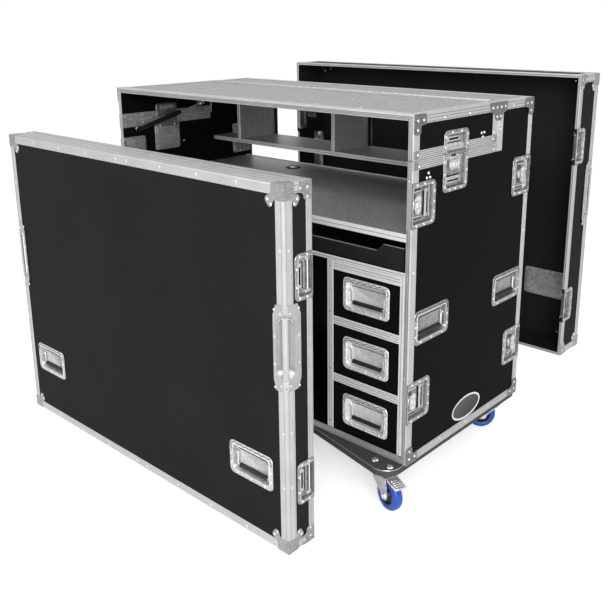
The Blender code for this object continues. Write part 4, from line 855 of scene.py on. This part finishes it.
def makeLatches():
    shape, onLid = bmesh.new(), bmesh.new()
    for name, place in latchPlaces():
        addLatch(shape, place)
        if "lid" in name:
            out = place.to_3x3().col[2]
            addKeeper(onLid, towardFrame(place.translation, (0, 0, -1), out))
        wing = bmesh.new()
        addWing(wing, place @ move((-latch["pivot"], 0, 0)))
        finishPiece(f"{name}_plate", wing, [stampedSteel, brightSteelAndHighlight, darkSlot], name, "stamped_steel", [name])
    finishPiece("case_latches", shape, latchFinishes, "case", "stamped_steel")
    finishPiece("lid_keepers", onLid, latchFinishes, "lid", "stamped_steel")


# recessed handles
handle = {"width": .175, "height": .105, "corner": .017, "pivotX": .0708, "legX": .0615,
          "axisUp": .012, "axisDepth": .0085, "leg": .038, "rod": .0027, "grip": .0064, "gripHalf": .0515}


def addHandleDish(shape, place):
    # Finishes: 0 flange, 1 bright lip, a painted highlight, 2 inner sheet, 3 dark, painted shade
    loops = ((.0012, .0016, .0165), (.0104, .0016, .012), (.0118, .0026, .011), (.0130, .0026, .010),
             (.0144, .0002, .012), (.0160, -.0112, .014), (.0192, -.0138, .013))
    part = dish(handle["width"], handle["height"], handle["corner"], loops)
    # the raised lip gets the bright finish, a painted highlight
    paintRise(part, .00205, 1)
    join(shape, part, place)
    half, high = handle["width"] / 2, handle["height"] / 2
    spots = [(s * (half - .0068), y) for s in (1, -1) for y in (-.024, .006)]
    spots += [(x, -high + .0068) for x in (-.054, 0, .054)]
    addRivets(shape, place @ move((0, 0, .0017)), spots, .0040, .0016)
    # zigzag pressed into the upper flange and round its corners, drawn as dark wire: painted shade in the pressed
    # lines
    zig = [(-.078 + .012 * i, high - (.0038 if i % 2 else .0092)) for i in range(14)]
    join(shape, tube([(x, y, .0016) for x, y in zig], .0010, 0), place, 3)
    for s in (1, -1):
        side = [(s * (half - (.0040 if i % 2 else .0094)), high - .012 - .009 * i) for i in range(3)]
        join(shape, tube([(x, y, .0016) for x, y in side], .0009, 0), place, 3)
    # lugs that hold the bail, and the dark gap over the grip, strips of painted shade
    floor = -.0135
    for s in (1, -1):
        join(shape, block((s * .0665 - .0030, .0055, floor - .001), (s * .0665 + .0030, .0185, floor + .0016), .0008),
             place, 2)
    join(shape, block((-.050, -.0352, floor - .0004), (.050, -.0322, floor + .0006)), place, 3)
    join(shape, block((-.062, .0225, floor - .0004), (.062, .0240, floor + .0006)), place, 3)


def addBail(shape, place):
    # Sprung U of bright rod with a ribbed grip. Finishes: 0 rod, 1 grip
    place = place @ move((0, handle["axisUp"], -handle["axisDepth"]))
    pivot, leg, drop, r = handle["pivotX"], handle["legX"], handle["leg"], handle["rod"]
    path = roundedPath([(-pivot, 0, 0), (-leg, 0, 0), (-leg, -drop, 0), (leg, -drop, 0), (leg, 0, 0), (pivot, 0, 0)],
                       .0052, 5)
    join(shape, tube(path, r, 2), place)
    grip = bmesh.new()
    bmesh.ops.create_circle(grip, cap_ends=True, segments=28, radius=handle["grip"])
    for i, vert in enumerate(grip.verts[:]):
        if i % 2:
            vert.co *= .90
    thicken(grip, 2 * handle["gripHalf"])
    join(shape, grip, place @ move((-handle["gripHalf"], -drop, 0)) @ swing(pi / 2, "Y"), 1)
    for s in (1, -1):
        join(shape, turned([(0, 0), (.0068, 0), (.0068, .0030), (.0055, .0042), (0, .0042)], 16),
             place @ move((s * (handle["gripHalf"] - .001), -drop, 0)) @ swing(s * pi / 2, "Y"), 1)
        coil = [(s * (.0632 + .0048 * i / 32), .0040 * cos(tau * i / 8), .0040 * sin(tau * i / 8)) for i in range(33)]
        join(shape, tube(coil, .0006, 0), place)


def handlePlaces():
    places = []
    for side, s in (("right", 1), ("left", -1)):
        for end, y in (("front", -case["handleY"]), ("rear", case["handleY"])):
            local = faceFrame((s * latch["seat"], y, case["handleZ"]), (s, 0, 0))
            places.append((f"bail_{side}_{end}", "case", local))
    for i in range(3):
        z = .109 + case["drawerPitch"] * i + case["low"]
        places.append((f"bail_drawer_{i + 1}", f"drawer_{i + 1}", faceFrame((.5155, -.32575, z), (0, -1, 0))))
    for name, cover in covers.items():
        for side, x in (("left", -coverHandle["x"]), ("right", coverHandle["x"])):
            local = faceFrame((x, -cover["depth"] + .0022, coverHandle["z"]), (0, -1, 0))
            places.append((f"bail_{name}_{side}", name, cover["place"] @ local))
    return places


def makeHandles():
    dishes = {}
    for name, body, place in handlePlaces():
        onCase = body == "case"
        addHandleDish(dishes.setdefault(body, bmesh.new()), place if onCase else place @ move((0, 0, .0008)))
        bail = bmesh.new()
        addBail(bail, place)
        finishPiece(f"{name}_rod", bail, [brightSteelAndHighlight, rubberGrip], name, "handle_grip", [name])
    for body, shape in dishes.items():
        # drawer dishes take the lighter copy of the stamped steel, painted light
        flange = latchSteel if body == "case" else drawerSteel if "drawer" in body else stampedSteel
        inner = drawerSteel if "drawer" in body else stampedSteel
        finishPiece(f"{body}_handle_dish", shape, [flange, brightSteelAndHighlight, inner, darkSlot], body, "stamped_steel")


# covers
coverTrim = {"faceLeg": .029, "sideLeg": .032, "rim": .022, "inward": .0108, "height": 1.040, "handleLow": .4975,
             "handleHigh": .7155, "plateRise": .0012, "rivetRise": .0009, "inside": .0118,
             "sideRivets": (.202, .366, .870)}
cornerHandle = {"middle": .6065, "half": .119, "slot": .085, "faceLeg": .045, "sideLeg": .058, "far": .034,
                "bar": .012, "proud": .0014}


def bentSheet(rows):
    # A grid bent so that its rows run through the given points
    across, along = len(rows[0]), len(rows)
    part = grid(1, 1, across - 1, along - 1)
    for index, vert in enumerate(part.verts[:]):
        vert.co = rows[index // across][index % across]
    return part


def addCornerHandle(shape, depth):
    # Pressed angle with a finger hollow behind its rounded corner bar, drawn for x > 0 and mirrored
    c = cornerHandle
    wide, face = case["halfX"] + c["proud"], -depth - c["proud"]
    hollow = [(c["far"], 0), (.033, .010), (.029, .020), (.020, .029), (.010, .033), (0, c["far"])]
    flat = [(c["far"], 0), (.024, 0), (.010, 0), (0, .010), (0, .024), (0, c["far"])]
    stations = [(-c["half"], 0), (-c["slot"] - .006, 0), (-c["slot"], .10), (-c["slot"] + .008, .45),
                (-c["slot"] + .020, .85), (-c["slot"] + .034, 1), (c["slot"] - .026, 1), (c["slot"] - .014, .85),
                (c["slot"] - .006, .45), (c["slot"], .10), (c["slot"] + .004, 0), (c["half"], 0)]
    rows = []
    for height, open_ in stations:
        end = abs(height) > c["slot"] + .02
        inner = [(a * open_ + p * (1 - open_), b * open_ + q * (1 - open_)) for (a, b), (p, q) in zip(hollow, flat)]
        corner = [(c["faceLeg"] - (.010 if end else 0), 0)] + inner + [(0, c["sideLeg"] - (.012 if end else 0))]
        rows.append([Vector((wide - a, face + b, c["middle"] + height)) for a, b in corner])
    sheet = bentSheet(rows)
    bmesh.ops.recalc_face_normals(sheet, faces=sheet.faces[:])
    outward = sum((f.normal.x - f.normal.y for f in sheet.faces if abs(f.calc_center_median().z - c["middle"]) > .1),
                  0)
    if outward < 0:
        bmesh.ops.reverse_faces(sheet, faces=sheet.faces[:])
    bmesh.ops.solidify(sheet, geom=sheet.faces[:], thickness=.0009)
    join(shape, sheet)
    # rounded bar, with its ends let into the plate
    bar = bmesh.new()
    section = [(0, 0), (0, c["bar"]), (.0045, c["bar"] + .0006), (c["bar"] - .003, c["bar"] - .003),
               (c["bar"] + .0006, .0045), (c["bar"], 0)]
    bar.faces.new([bar.verts.new((case["halfX"] + .0016 - a, -depth - .0016 + b, c["middle"] - c["slot"] - .004))
                   for a, b in section])
    soften(bar, bar.verts[:1], .0062, 4, "VERTICES")
    soften(bar, [v for v in bar.verts if v.co.x < case["halfX"] - .001 or v.co.y > -depth + .001], .0015, 2,
           "VERTICES")
    thicken(bar, 2 * c["slot"] + .008)
    join(shape, bar, finish=2)
    # the curved lips over and under the hollow, as bright wire: a painted highlight along their edges
    for level, up in ((c["middle"] + c["slot"] + .002, 1), (c["middle"] - c["slot"] - .003, -1)):
        lip = [(wide - c["far"] + .004, face, level - up * .020), (wide - .020, face, level - up * .005),
               (wide, face, level), (wide, face + .020, level - up * .005),
               (wide, face + c["far"] - .004, level - up * .020)]
        join(shape, tube(lip, .0011, 1), finish=1)
    faceSpots = [(c["faceLeg"] - .006, z) for z in (-.112, -.046, .030, .104)] + [(.017, z) for z in (-.103, .097)]
    sideSpots = [(c["sideLeg"] - .008, z) for z in (-.112, -.046, .030, .104)] + [(.017, z) for z in (-.103, .097)]
    addRivets(shape, wallFrame(-depth - .0008, -1),
              [(case["halfX"] - a, c["middle"] + z) for a, z in faceSpots], .0042, .0014)
    addRivets(shape, sideFrame(case["halfX"] + .0008, 1),
              [(-depth + a, c["middle"] + z) for a, z in sideSpots], .0042, .0014)


def mirrored(shape):
    # A copy on the other side of x = 0, with its faces turned back outwards
    both = shape.copy()
    twin = shape.copy()
    bmesh.ops.scale(twin, vec=(-1, 1, 1), verts=twin.verts[:])
    bmesh.ops.reverse_faces(twin, faces=twin.faces[:])
    join(both, twin)
    shape.free()
    return both


def finishCover(name, half, cover, *finish):
    # The piece whose +x half is given, brought to the cover's place
    whole = mirrored(half)
    whole.transform(cover["place"])
    finishPiece(name, whole, *finish)


def makeCover(name, cover):
    t, wide, high, depth = coverTrim, case["halfX"], coverTrim["height"], cover["depth"]
    shape = bmesh.new()
    for start, end, mitre in ((0, t["handleLow"], (True, False)), (t["handleHigh"], high, (False, True))):
        addEdging(shape, (wide, -depth, start), (wide, -depth, end), (1, 0, 0), (0, -1, 0), t["sideLeg"],
                  t["faceLeg"], (2, 1), mitre, corner=.006, groove=(.0014, .0009))
    for z, up in ((0, -1), (high, 1)):
        addEdging(shape, (0, -depth, z), (wide, -depth, z), (0, -1, 0), (0, 0, up), t["faceLeg"], cover["topLeg"],
                  (0, cover["topRibs"]), (False, True), corner=.006, groove=(.0080, .0009))
        addEdging(shape, (wide, -depth, z), (wide, 0, z), (1, 0, 0), (0, 0, up), edging["sideLeg"], edging["sideLeg"],
                  (2, 2), corner=.005)
    faceSpots = [(wide - .014, z) for z in t["sideRivets"]]
    faceSpots += [(x, z) for x in (.026, .188, .348, .506) for z in (.0145, high - .0145)]
    addRivets(shape, wallFrame(-depth, -1), faceSpots, .0044, t["rivetRise"])
    addRivets(shape, sideFrame(wide, 1), [(-depth + .018, z) for z in t["sideRivets"]], .0044, t["rivetRise"])
    finishCover(f"{name}_edging", shape, cover, [coverEdging, brightSteelAndHighlight, ribShade], name, "extrusion",
                [f"{name}_frame"])

    rim = bmesh.new()
    latchZ = [z - case["low"] for z in case["latchZ"]]
    for z0, z1 in latchGaps(0, high, latchZ):
        addEdging(rim, (wide, 0, z0), (wide, 0, z1), (1, 0, 0), (0, 1, 0), t["rim"], t["inward"], (3, 1),
                  (z0 == 0, z1 == high), corner=.002)
    for z, up in ((0, -1), (high, 1)):
        addEdging(rim, (0, 0, z), (wide, 0, z), (0, 1, 0), (0, 0, up), t["inward"], t["rim"], (1, 3), (False, True),
                  corner=.002)
    finishCover(f"{name}_rim_edging", rim, cover, edgingFinishes, name, "extrusion", [f"{name}_rim"])

    fittings = bmesh.new()
    rise = t["plateRise"]
    for z, up in ((0, 1), (high, -1)):
        side = sideFrame(wide - .0009, 1)
        front = wallFrame(-depth + .0009, -1)
        cap = faceFrame((0, 0, z + up * .0009), (0, 0, -up), (0, 1, 0))
        earPlate(fittings, side, (-depth, z), (1, up), .92, rise)
        earPlate(fittings, front, (wide, z), (-1, up), 1, rise)
        cornerBracket(fittings, cap, (-up * wide, -depth), (up, 1), rise, .043, 0)
        cornerBracket(fittings, side, (0, z), (-1, up), rise, min(.050, depth - .054), rivetRise=.0009)
    finishCover(f"{name}_corner_plates", fittings, cover, [coverPlate, brightSteelAndHighlight], name, "stamped_steel")

    grips = bmesh.new()
    addCornerHandle(grips, depth)
    finishCover(f"{name}_corner_handles", grips, cover, [gripSteel, brightSteelAndHighlight, coverEdging], name, "stamped_steel")

    keepers = bmesh.new()
    for z in latchZ:
        addKeeper(keepers, towardFrame((latch["seat"], 0, z), (0, 1, 0), (1, 0, 0)))
    finishCover(f"{name}_keepers", keepers, cover, latchFinishes, name, "stamped_steel")

    # sheet over the backs of the handle dishes, seen on the cover's inner side
    backs = bmesh.new()
    for x in (-coverHandle["x"], coverHandle["x"]):
        inner = faceFrame((x, -depth + t["inside"], coverHandle["z"]), (0, 1, 0))
        join(backs, dish(.178, .108, .010, backLoops(.0080)), inner)
        spots = [(s * .081, y) for s in (1, -1) for y in (-.036, 0, .036)] + [(0, y) for y in (-.046, .046)]
        addRivets(backs, inner @ move((0, 0, .0008)), spots, .0042, .0016)
    corners = [(s * x, z) for s in (1, -1) for x, up in ((.643, .030), (.628, .042), (.592, .032))
               for z in (up, high - up)]
    addRivets(backs, wallFrame(-depth + t["inside"], 1), corners, .0042, .0020)
    backs.transform(cover["place"])
    finishPiece(f"{name}_back_plates", backs, [galvanised, brightSteelAndHighlight], name, "stamped_steel")


# hinge along the lid
hinge = {"half": .6455, "leaf": .0175, "knuckle": .048, "radius": .0029, "z": 1.0625, "rivetPitch": .096,
         "gap": .0003, "sheet": (.0002, .0014)}


def makeHinge():
    for name, direction in (("case", 1), ("lid", -1)):
        shape = bmesh.new()
        near, far = case["hingeY"] + direction * .0034, case["hingeY"] + direction * (.0034 + hinge["leaf"])
        (low, high), (bottom, top) = sorted((near, far)), (case["top"] + z for z in hinge["sheet"])
        join(shape, block((-hinge["half"], low, bottom), (hinge["half"], high, top), .0005))
        count = round(2 * hinge["half"] / hinge["knuckle"])
        pitch = 2 * hinge["half"] / count
        for i in range(count):
            if (i % 2 == 0) != (direction > 0):
                continue
            start, end = (-hinge["half"] + i * pitch + hinge["gap"], -hinge["half"] + (i + 1) * pitch - hinge["gap"])
            join(shape, rod((start, case["hingeY"], hinge["z"]), (end, case["hingeY"], hinge["z"]), hinge["radius"]))
            a, b = sorted((case["hingeY"] + direction * .0015, near + direction * .001))
            join(shape, block((start, a, bottom), (end, b, top)))
        spots = [(x, (near + far) / 2 + direction * .002) for x in rivetRow(-.624, .624, hinge["rivetPitch"])]
        addRivets(shape, topFrame(top), spots, .0040, .0014)
        replaced = ["case_hinge", "hinge_pin"] if direction > 0 else ["lid_hinge"]
        finishPiece(f"{name}_hinge_leaf", shape, [stampedSteel, brightSteelAndHighlight], name, "stamped_steel", replaced)


# casters
caster = {"trail": .035, "axleZ": -.072, "radius": .050, "width": .032, "hub": .031, "forkInner": .040, "wall": .003,
          "top": -.0123, "headings": {"front_right": -17, "front_left": 197, "rear_right": 222, "rear_left": -42}}


def casterPlace(name):
    end, side = name.split("_")
    x, y = .605 if side == "right" else -.605, -.345 if end == "front" else .290
    return move((x, y, 0)) @ swing(radians(caster["headings"][name]), "Z")


def makeFork(name, place):
    shape = bmesh.new()
    top, axle, trail = caster["top"], caster["axleZ"], caster["trail"]
    half, wall = caster["forkInner"] / 2, caster["wall"]
    for s in (1, -1):
        # leg seen from the side, leaning back from the swivel to the axle
        leg = plate([(-.030, top), (.042, top), (.042, top - .010), (trail + .016, axle + .004),
                     (trail + .012, axle - .012), (trail - .012, axle - .012), (trail - .016, axle + .002),
                     (-.028, top - .016)], 0, wall, .005, (0, 1), .0007)
        turn = move((0, s * (half + wall) if s > 0 else -half, 0)) @ swing(pi / 2, "X")
        join(shape, leg, turn)
        end = half + wall
        join(shape, turned([(0, 0), (.0120, 0), (.0115, .0012), (.0085, .0014), (.0082, .0044), (.0040, .0050),
                            (0, .0050)], 6), move((trail, s * end, axle)) @ swing(-s * pi / 2, "X"), 1)
        rib = tube(roundedPath([(-.024, s * (end + .0002), top - .006), (.000, s * (end + .0002), top - .030),
                                (trail - .013, s * (end + .0002), axle + .006)], .01), .0012, 1)
        join(shape, rib)
    crown = block((-.0305, -half - wall, top - .0045), (.0425, half + wall, top), .0016, 2)
    join(shape, crown)
    join(shape, turned([(0, top - .0044), (.020, top - .0044), (.017, top - .0085), (.007, top - .0095),
                        (0, top - .0095)], 24), finish=1)
    join(shape, rod((trail, -half + .0006, axle), (trail, half - .0006, axle), .0048), finish=1)
    shape.transform(place)
    finishPiece(f"fork_{name}_sheet", shape, [galvanised, brightSteelAndHighlight], f"fork_{name}", "stamped_steel",
                [f"fork_{name}"])


def makeWheel(name, place):
    shape = bmesh.new()
    r, w, hub = caster["radius"], caster["width"] / 2, caster["hub"]
    spin = place @ move((caster["trail"], 0, caster["axleZ"])) @ swing(-pi / 2, "X")
    tyre = [(hub, -w + .002), (hub + .003, -w), (r - .009, -w), (r - .004, -w + .0022), (r - .0008, -w + .008),
            (r, -.004)]
    join(shape, turned(mirroredProfile(tyre), 48, True), spin)
    rim = [(.0062, -.0192), (.0105, -.0192), (.0110, -.0130), (.016, -.0075), (.0265, -.0070), (.0285, -.0135),
           (hub + .0004, -.0138)]
    join(shape, turned(mirroredProfile(rim), 36, True), spin, 1)
    finishPiece(f"wheel_{name}_tyre", shape, [blueTyre, blackPlastic], f"wheel_{name}", "blue_tyre",
                [f"wheel_{name}"])


def makePedal(name, place):
    # Ridged foot pedal between two cheeks, on the pivot at the fork's front end
    shape = bmesh.new()
    join(shape, plate([(.001, -.018), (.046, -.018), (.050, -.012), (.050, .012), (.046, .018), (.001, .018)], -.0016,
                      .0006, .002, (), .0005))
    for x in (.012, .020, .028, .036):
        join(shape, block((x, -.0125, .0004), (x + .0034, .0125, .0022), .0008), finish=1)
    for s in (1, -1):
        join(shape, block((.002, s * .0185 - .0014, -.0040), (.046, s * .0185 + .0014, .0030), .0010), finish=1)
        join(shape, rod((.030, s * .0150, -.0022), (.030, s * .0198, -.0022), .0034), finish=1)
        coil = [(.006 + .0042 * cos(tau * i / 8), s * (.0135 + .0045 * i / 40), -.002 + .0028 * sin(tau * i / 8))
                for i in range(41)]
        join(shape, tube(coil, .0006, 0), finish=1)
    join(shape, block((.044, -.020, -.0030), (.0495, .020, .0026), .0012), finish=1)
    tilt = move((.0423, 0, -.0156)) @ swing(radians(13.5), "Y")
    shape.transform(place @ tilt)
    finishPiece(f"pedal_{name}_plate", shape, [galvanised, brightSteelAndHighlight], f"pedal_{name}", "stamped_steel",
                [f"pedal_{name}"])


def makeCasters():
    for name in caster["headings"]:
        place = casterPlace(name)
        makeFork(name, place)
        makeWheel(name, place)
        if name.startswith("front"):
            makePedal(name, place)


# trim and small parts of the case
def lobeOutline():
    points = [(.291, -.330)]
    for i in range(13):
        turn = radians(-104 * (1 - i / 12))
        points.append((.613 + .052 * cos(turn), -.343 + .052 * sin(turn)))
    return points + [(.665, .330)]


def makeBoardBoltsAndHighlight():
    shape = bmesh.new()
    for s in (1, -1):
        # bright wire round the board's upper edge: a painted highlight
        path = [(s * x, y, .0200) for x, y in lobeOutline()]
        join(shape, tube(path, .0009, 1))
        for x, y in ((.584, -.3600), (.642, -.3630)):
            # washer and a flower head
            head = turned([(0, 0), (.0105, 0), (.0105, .0010), (.0088, .0016), (.0082, .0046), (.0060, .0056),
                           (0, .0056)], 16)
            join(shape, head, move((s * x, y, .0206)))
            for i in range(3):
                turn = tau * i / 3 + .5
                join(shape, turned([(0, 0), (.0062, 0), (.0052, .0026), (0, .0036)], 12),
                     move((s * x + .0060 * cos(turn), y + .0060 * sin(turn), .0226)))
    finishPiece("wheel_board_bolts_and_highlight", shape, [brightSteelAndHighlight], "case", "stamped_steel")


def makeTrim():
    face = case["face"]
    shape = bmesh.new()

    def strip(x0, x1, z0, z1, ribs, upright=False, y=face, rise=.0014):
        local = wallFrame(y, -1)
        if upright:
            join(shape, ribbedStrip(x1 - x0, z1 - z0, rise, ribs), local @ move((x0, z0, 0)))
        else:
            turn = move((x0, z1, 0)) @ swing(-pi / 2, "Z")
            join(shape, ribbedStrip(z1 - z0, x1 - x0, rise, ribs), local @ turn)

    strip(-.6565, .6565, .7075, .7308, 2)
    strip(-.6565, .6565, .6053, .6187, 2)
    # face frame round the drawers: bars in two halves with a dark gap
    low = case["low"]
    strip(.3665, .3905, .047, .6045, 3, True)
    strip(.6405, .6560, .047, .6045, 2, True)
    for i in range(1, 3):
        z = low + .028 + case["drawerPitch"] * i
        strip(.391, .6400, z - .0275, z - .0148, 2)
        strip(.391, .6400, z - .0132, z - .0005, 2)
    strip(.391, .6400, low + .566 - .0105, low + .566, 1)
    strip(.391, .6400, .5882, .6044, 2)
    # shelf and uprights of the rear section
    strip(-.6565, .6565, .8215, .8365, 2, y=.1177)
    for x in (-.504, 0, .504):
        strip(x - .0078, x + .0078, .8372, 1.0492, 2, True, y=.1177)
    addRivets(shape, wallFrame(face - .0013, -1),
              [(x, .719) for x in rivetRow(-.6, .6, .3)] + [(.3785, z) for z in (.07, .25, .44, .585)], .003, .0010)
    # strip along the worktop's rear edge
    join(shape, ribbedStrip(.0115, 1.327, .0018, 2), move((-.6635, .3115, .7312)) @ swing(-pi / 2, "Z"))
    # the trim strips take the lighter copy of the edging metal, painted light
    finishPiece("case_trim", shape, [trimMetal, brightSteelAndHighlight, ribShade], "case", "extrusion")

    # bead along the tray's lip, a rounded lip in light metal: a painted highlight on the black tray's edge
    bead = bmesh.new()
    y = face + .0035 + .006
    path = [(-.646, y, .6853), (-.5725, y, .6853), (-.550, y, .6633), (.550, y, .6633), (.5725, y, .6853),
            (.646, y, .6853)]
    join(bead, tube(path, .0014, 2))
    finishPiece("tray_lip_highlight_bead", bead, [edgingMetal], "tray", "extrusion")


def punchedStrip(width, length, pitch, hole):
    # Rail face with a row of square holes along y; the holes are shallow and near black, painted shade for their
    # depth
    count = int(length / pitch)
    part = grid(width, length, 1, count, (width / 2, length / 2), .0010)
    holes = part.faces[:]
    bmesh.ops.inset_individual(part, faces=holes, thickness=(min(width, length / count) - hole) / 2, depth=0,
                               use_even_offset=True)
    bmesh.ops.inset_individual(part, faces=holes, thickness=.0002, depth=-.0008, use_even_offset=True)
    for face in holes:
        face.material_index = 1
    bmesh.ops.solidify(part, geom=part.faces[:], thickness=.0002)
    return part


def makeRackRails():
    shape = bmesh.new()
    rear = wallFrame(.3098, -1)
    for x in (-.496 + .0015, -.0265, .0080 + .0005, .496 - .0190):
        join(shape, punchedStrip(.0170, .2115, .0148, .0072), rear @ move((x, .8373, 0)))
    lower = wallFrame(-.2484, -1)
    for x, width in ((-.6440, .0150), (-.1765, .0150), (-.1425, .0270), (.3380, .0270)):
        join(shape, punchedStrip(width, .572, .0150, .0072), lower @ move((x, .0325, 0)))
    finishPiece("rack_rail_faces", shape, [blackSteel, darkSlot], "case", "black_steel")


def makeBadge():
    oval = {"length": .166, "height": .080, "z": .091, "rim": .0058, "thick": .0011}
    shape = bmesh.new()
    bmesh.ops.create_circle(shape, cap_ends=True, segments=48, radius=1)
    bmesh.ops.scale(shape, vec=(oval["length"] / 2, oval["height"] / 2, 1), verts=shape.verts[:])
    thicken(shape, oval["thick"])
    top = max(shape.faces, key=lambda f: f.calc_center_median().z)
    insetFace(shape, top, oval["rim"], 0)
    insetFace(shape, top, .0006, -.0003)
    top.material_index = 1
    shape.transform(faceFrame((.6735, 0, oval["z"]), (1, 0, 0)))
    finishPiece("badge_oval", shape, [brightSteelAndHighlight, blackPlastic], "case", "black_plastic", ["badge_plate"])


def makeLidTab():
    # Black folded tab under the lid's front edge
    shape = bmesh.new()
    join(shape, plate(oblong(.278, -.316, .312, -.286), 1.0462, 1.0492, .004, (), .0005))
    fold = wallFrame(-.314, -1)
    join(shape, plate(oblong(.278, 1.024, .312, 1.0485), 0, .0020, .004, (2, 3), .0005), fold)
    addRivets(shape, fold @ move((0, 0, .0020)), [(.286, 1.034), (.304, 1.034)], .0024, .0010)
    finishPiece("lid_front_tab", shape, [blackSteel, darkSlot], "lid", "black_steel")


def makeGrommet():
    shape = bmesh.new()
    ring = turned([(.0165, 0), (.0165, .0022), (.0185, .0032), (.0265, .0032), (.0298, .0016), (.0300, 0)], 36, True)
    join(shape, ring)
    join(shape, turned([(0, 0), (.0168, 0), (.0168, .0012), (.010, .0020), (0, .0022)], 24), finish=1)
    shape.transform(move((-.291, .208, .7313)))
    finishPiece("grommet_ring", shape, [blackPlastic, brightSteelAndHighlight], "case", "black_plastic", ["cable_grommet"])


def makeInnerSheets():
    # Backs of the latch dishes, band strips along the parting and hex studs of the struts
    onCase, onLid = bmesh.new(), bmesh.new()
    wide = case["inside"]
    for s in (1, -1):
        place = sideFrame(s * (wide - .0001), -s)
        for shape, z0, z1 in ((onCase, .9100, .9352), (onLid, .9368, .9620)):
            low, high = sorted((-s * -.3275, -s * .103))
            join(shape, block((low, z0, 0), (high, z1, .0011), .0004), place)
            spots = [(-s * y, (z0 + z1) / 2) for y in rivetRow(-.31, .09, .08)]
            addRivets(shape, place @ move((0, 0, .0011)), spots, .0036, .0014)
        for y, z in [(y, z) for y in (-.2740, .2740) for z in case["latchZ"]]:
            join(onCase, dish(.100, .124, .008, backLoops(.0064)), place @ move((-s * y, z, 0)))
            spots = [(-s * y + a, z + b) for a in (-.045, .045) for b in (-.045, 0, .045)]
            addRivets(onCase, place @ move((0, 0, .0008)), spots, .0034, .0013)
        for y in (-case["handleY"], case["handleY"]):
            join(onCase, dish(.168, .098, .008, backLoops(.0074)), place @ move((-s * y, case["handleZ"], 0)))
        join(onCase, dish(.120, .100, .008, backLoops(.0064)), place @ move((-s * case["lidLatchY"], .8585, 0)))
        for shape, (y, z) in ((onCase, (-.262, .902)), (onLid, (.042, .978))):
            nut = turned([(0, 0), (.0085, 0), (.0085, .0050), (.0070, .0062), (0, .0062)], 6)
            join(shape, nut, place @ move((-s * y, z, .0002)), 1)
    finishPiece("case_inner_sheets", onCase, [galvanised, brightSteelAndHighlight], "case", "stamped_steel")
    finishPiece("lid_inner_sheets", onLid, [galvanised, brightSteelAndHighlight], "lid", "stamped_steel")


for name, maker in (("case edging", makeCaseEdging), ("lid edging", makeLidEdging), ("brackets", makeBrackets),
                    ("latches", makeLatches), ("handles", makeHandles), ("hinge", makeHinge),
                    ("casters", makeCasters), ("wheel board trim", makeBoardBoltsAndHighlight), ("trim", makeTrim),
                    ("rack rails", makeRackRails), ("badge", makeBadge), ("lid tab", makeLidTab),
                    ("grommet", makeGrommet), ("inner sheets", makeInnerSheets)):
    maker()
    print(name, "made")
for name, cover in covers.items():
    makeCover(name, cover)
    print(name, "made")
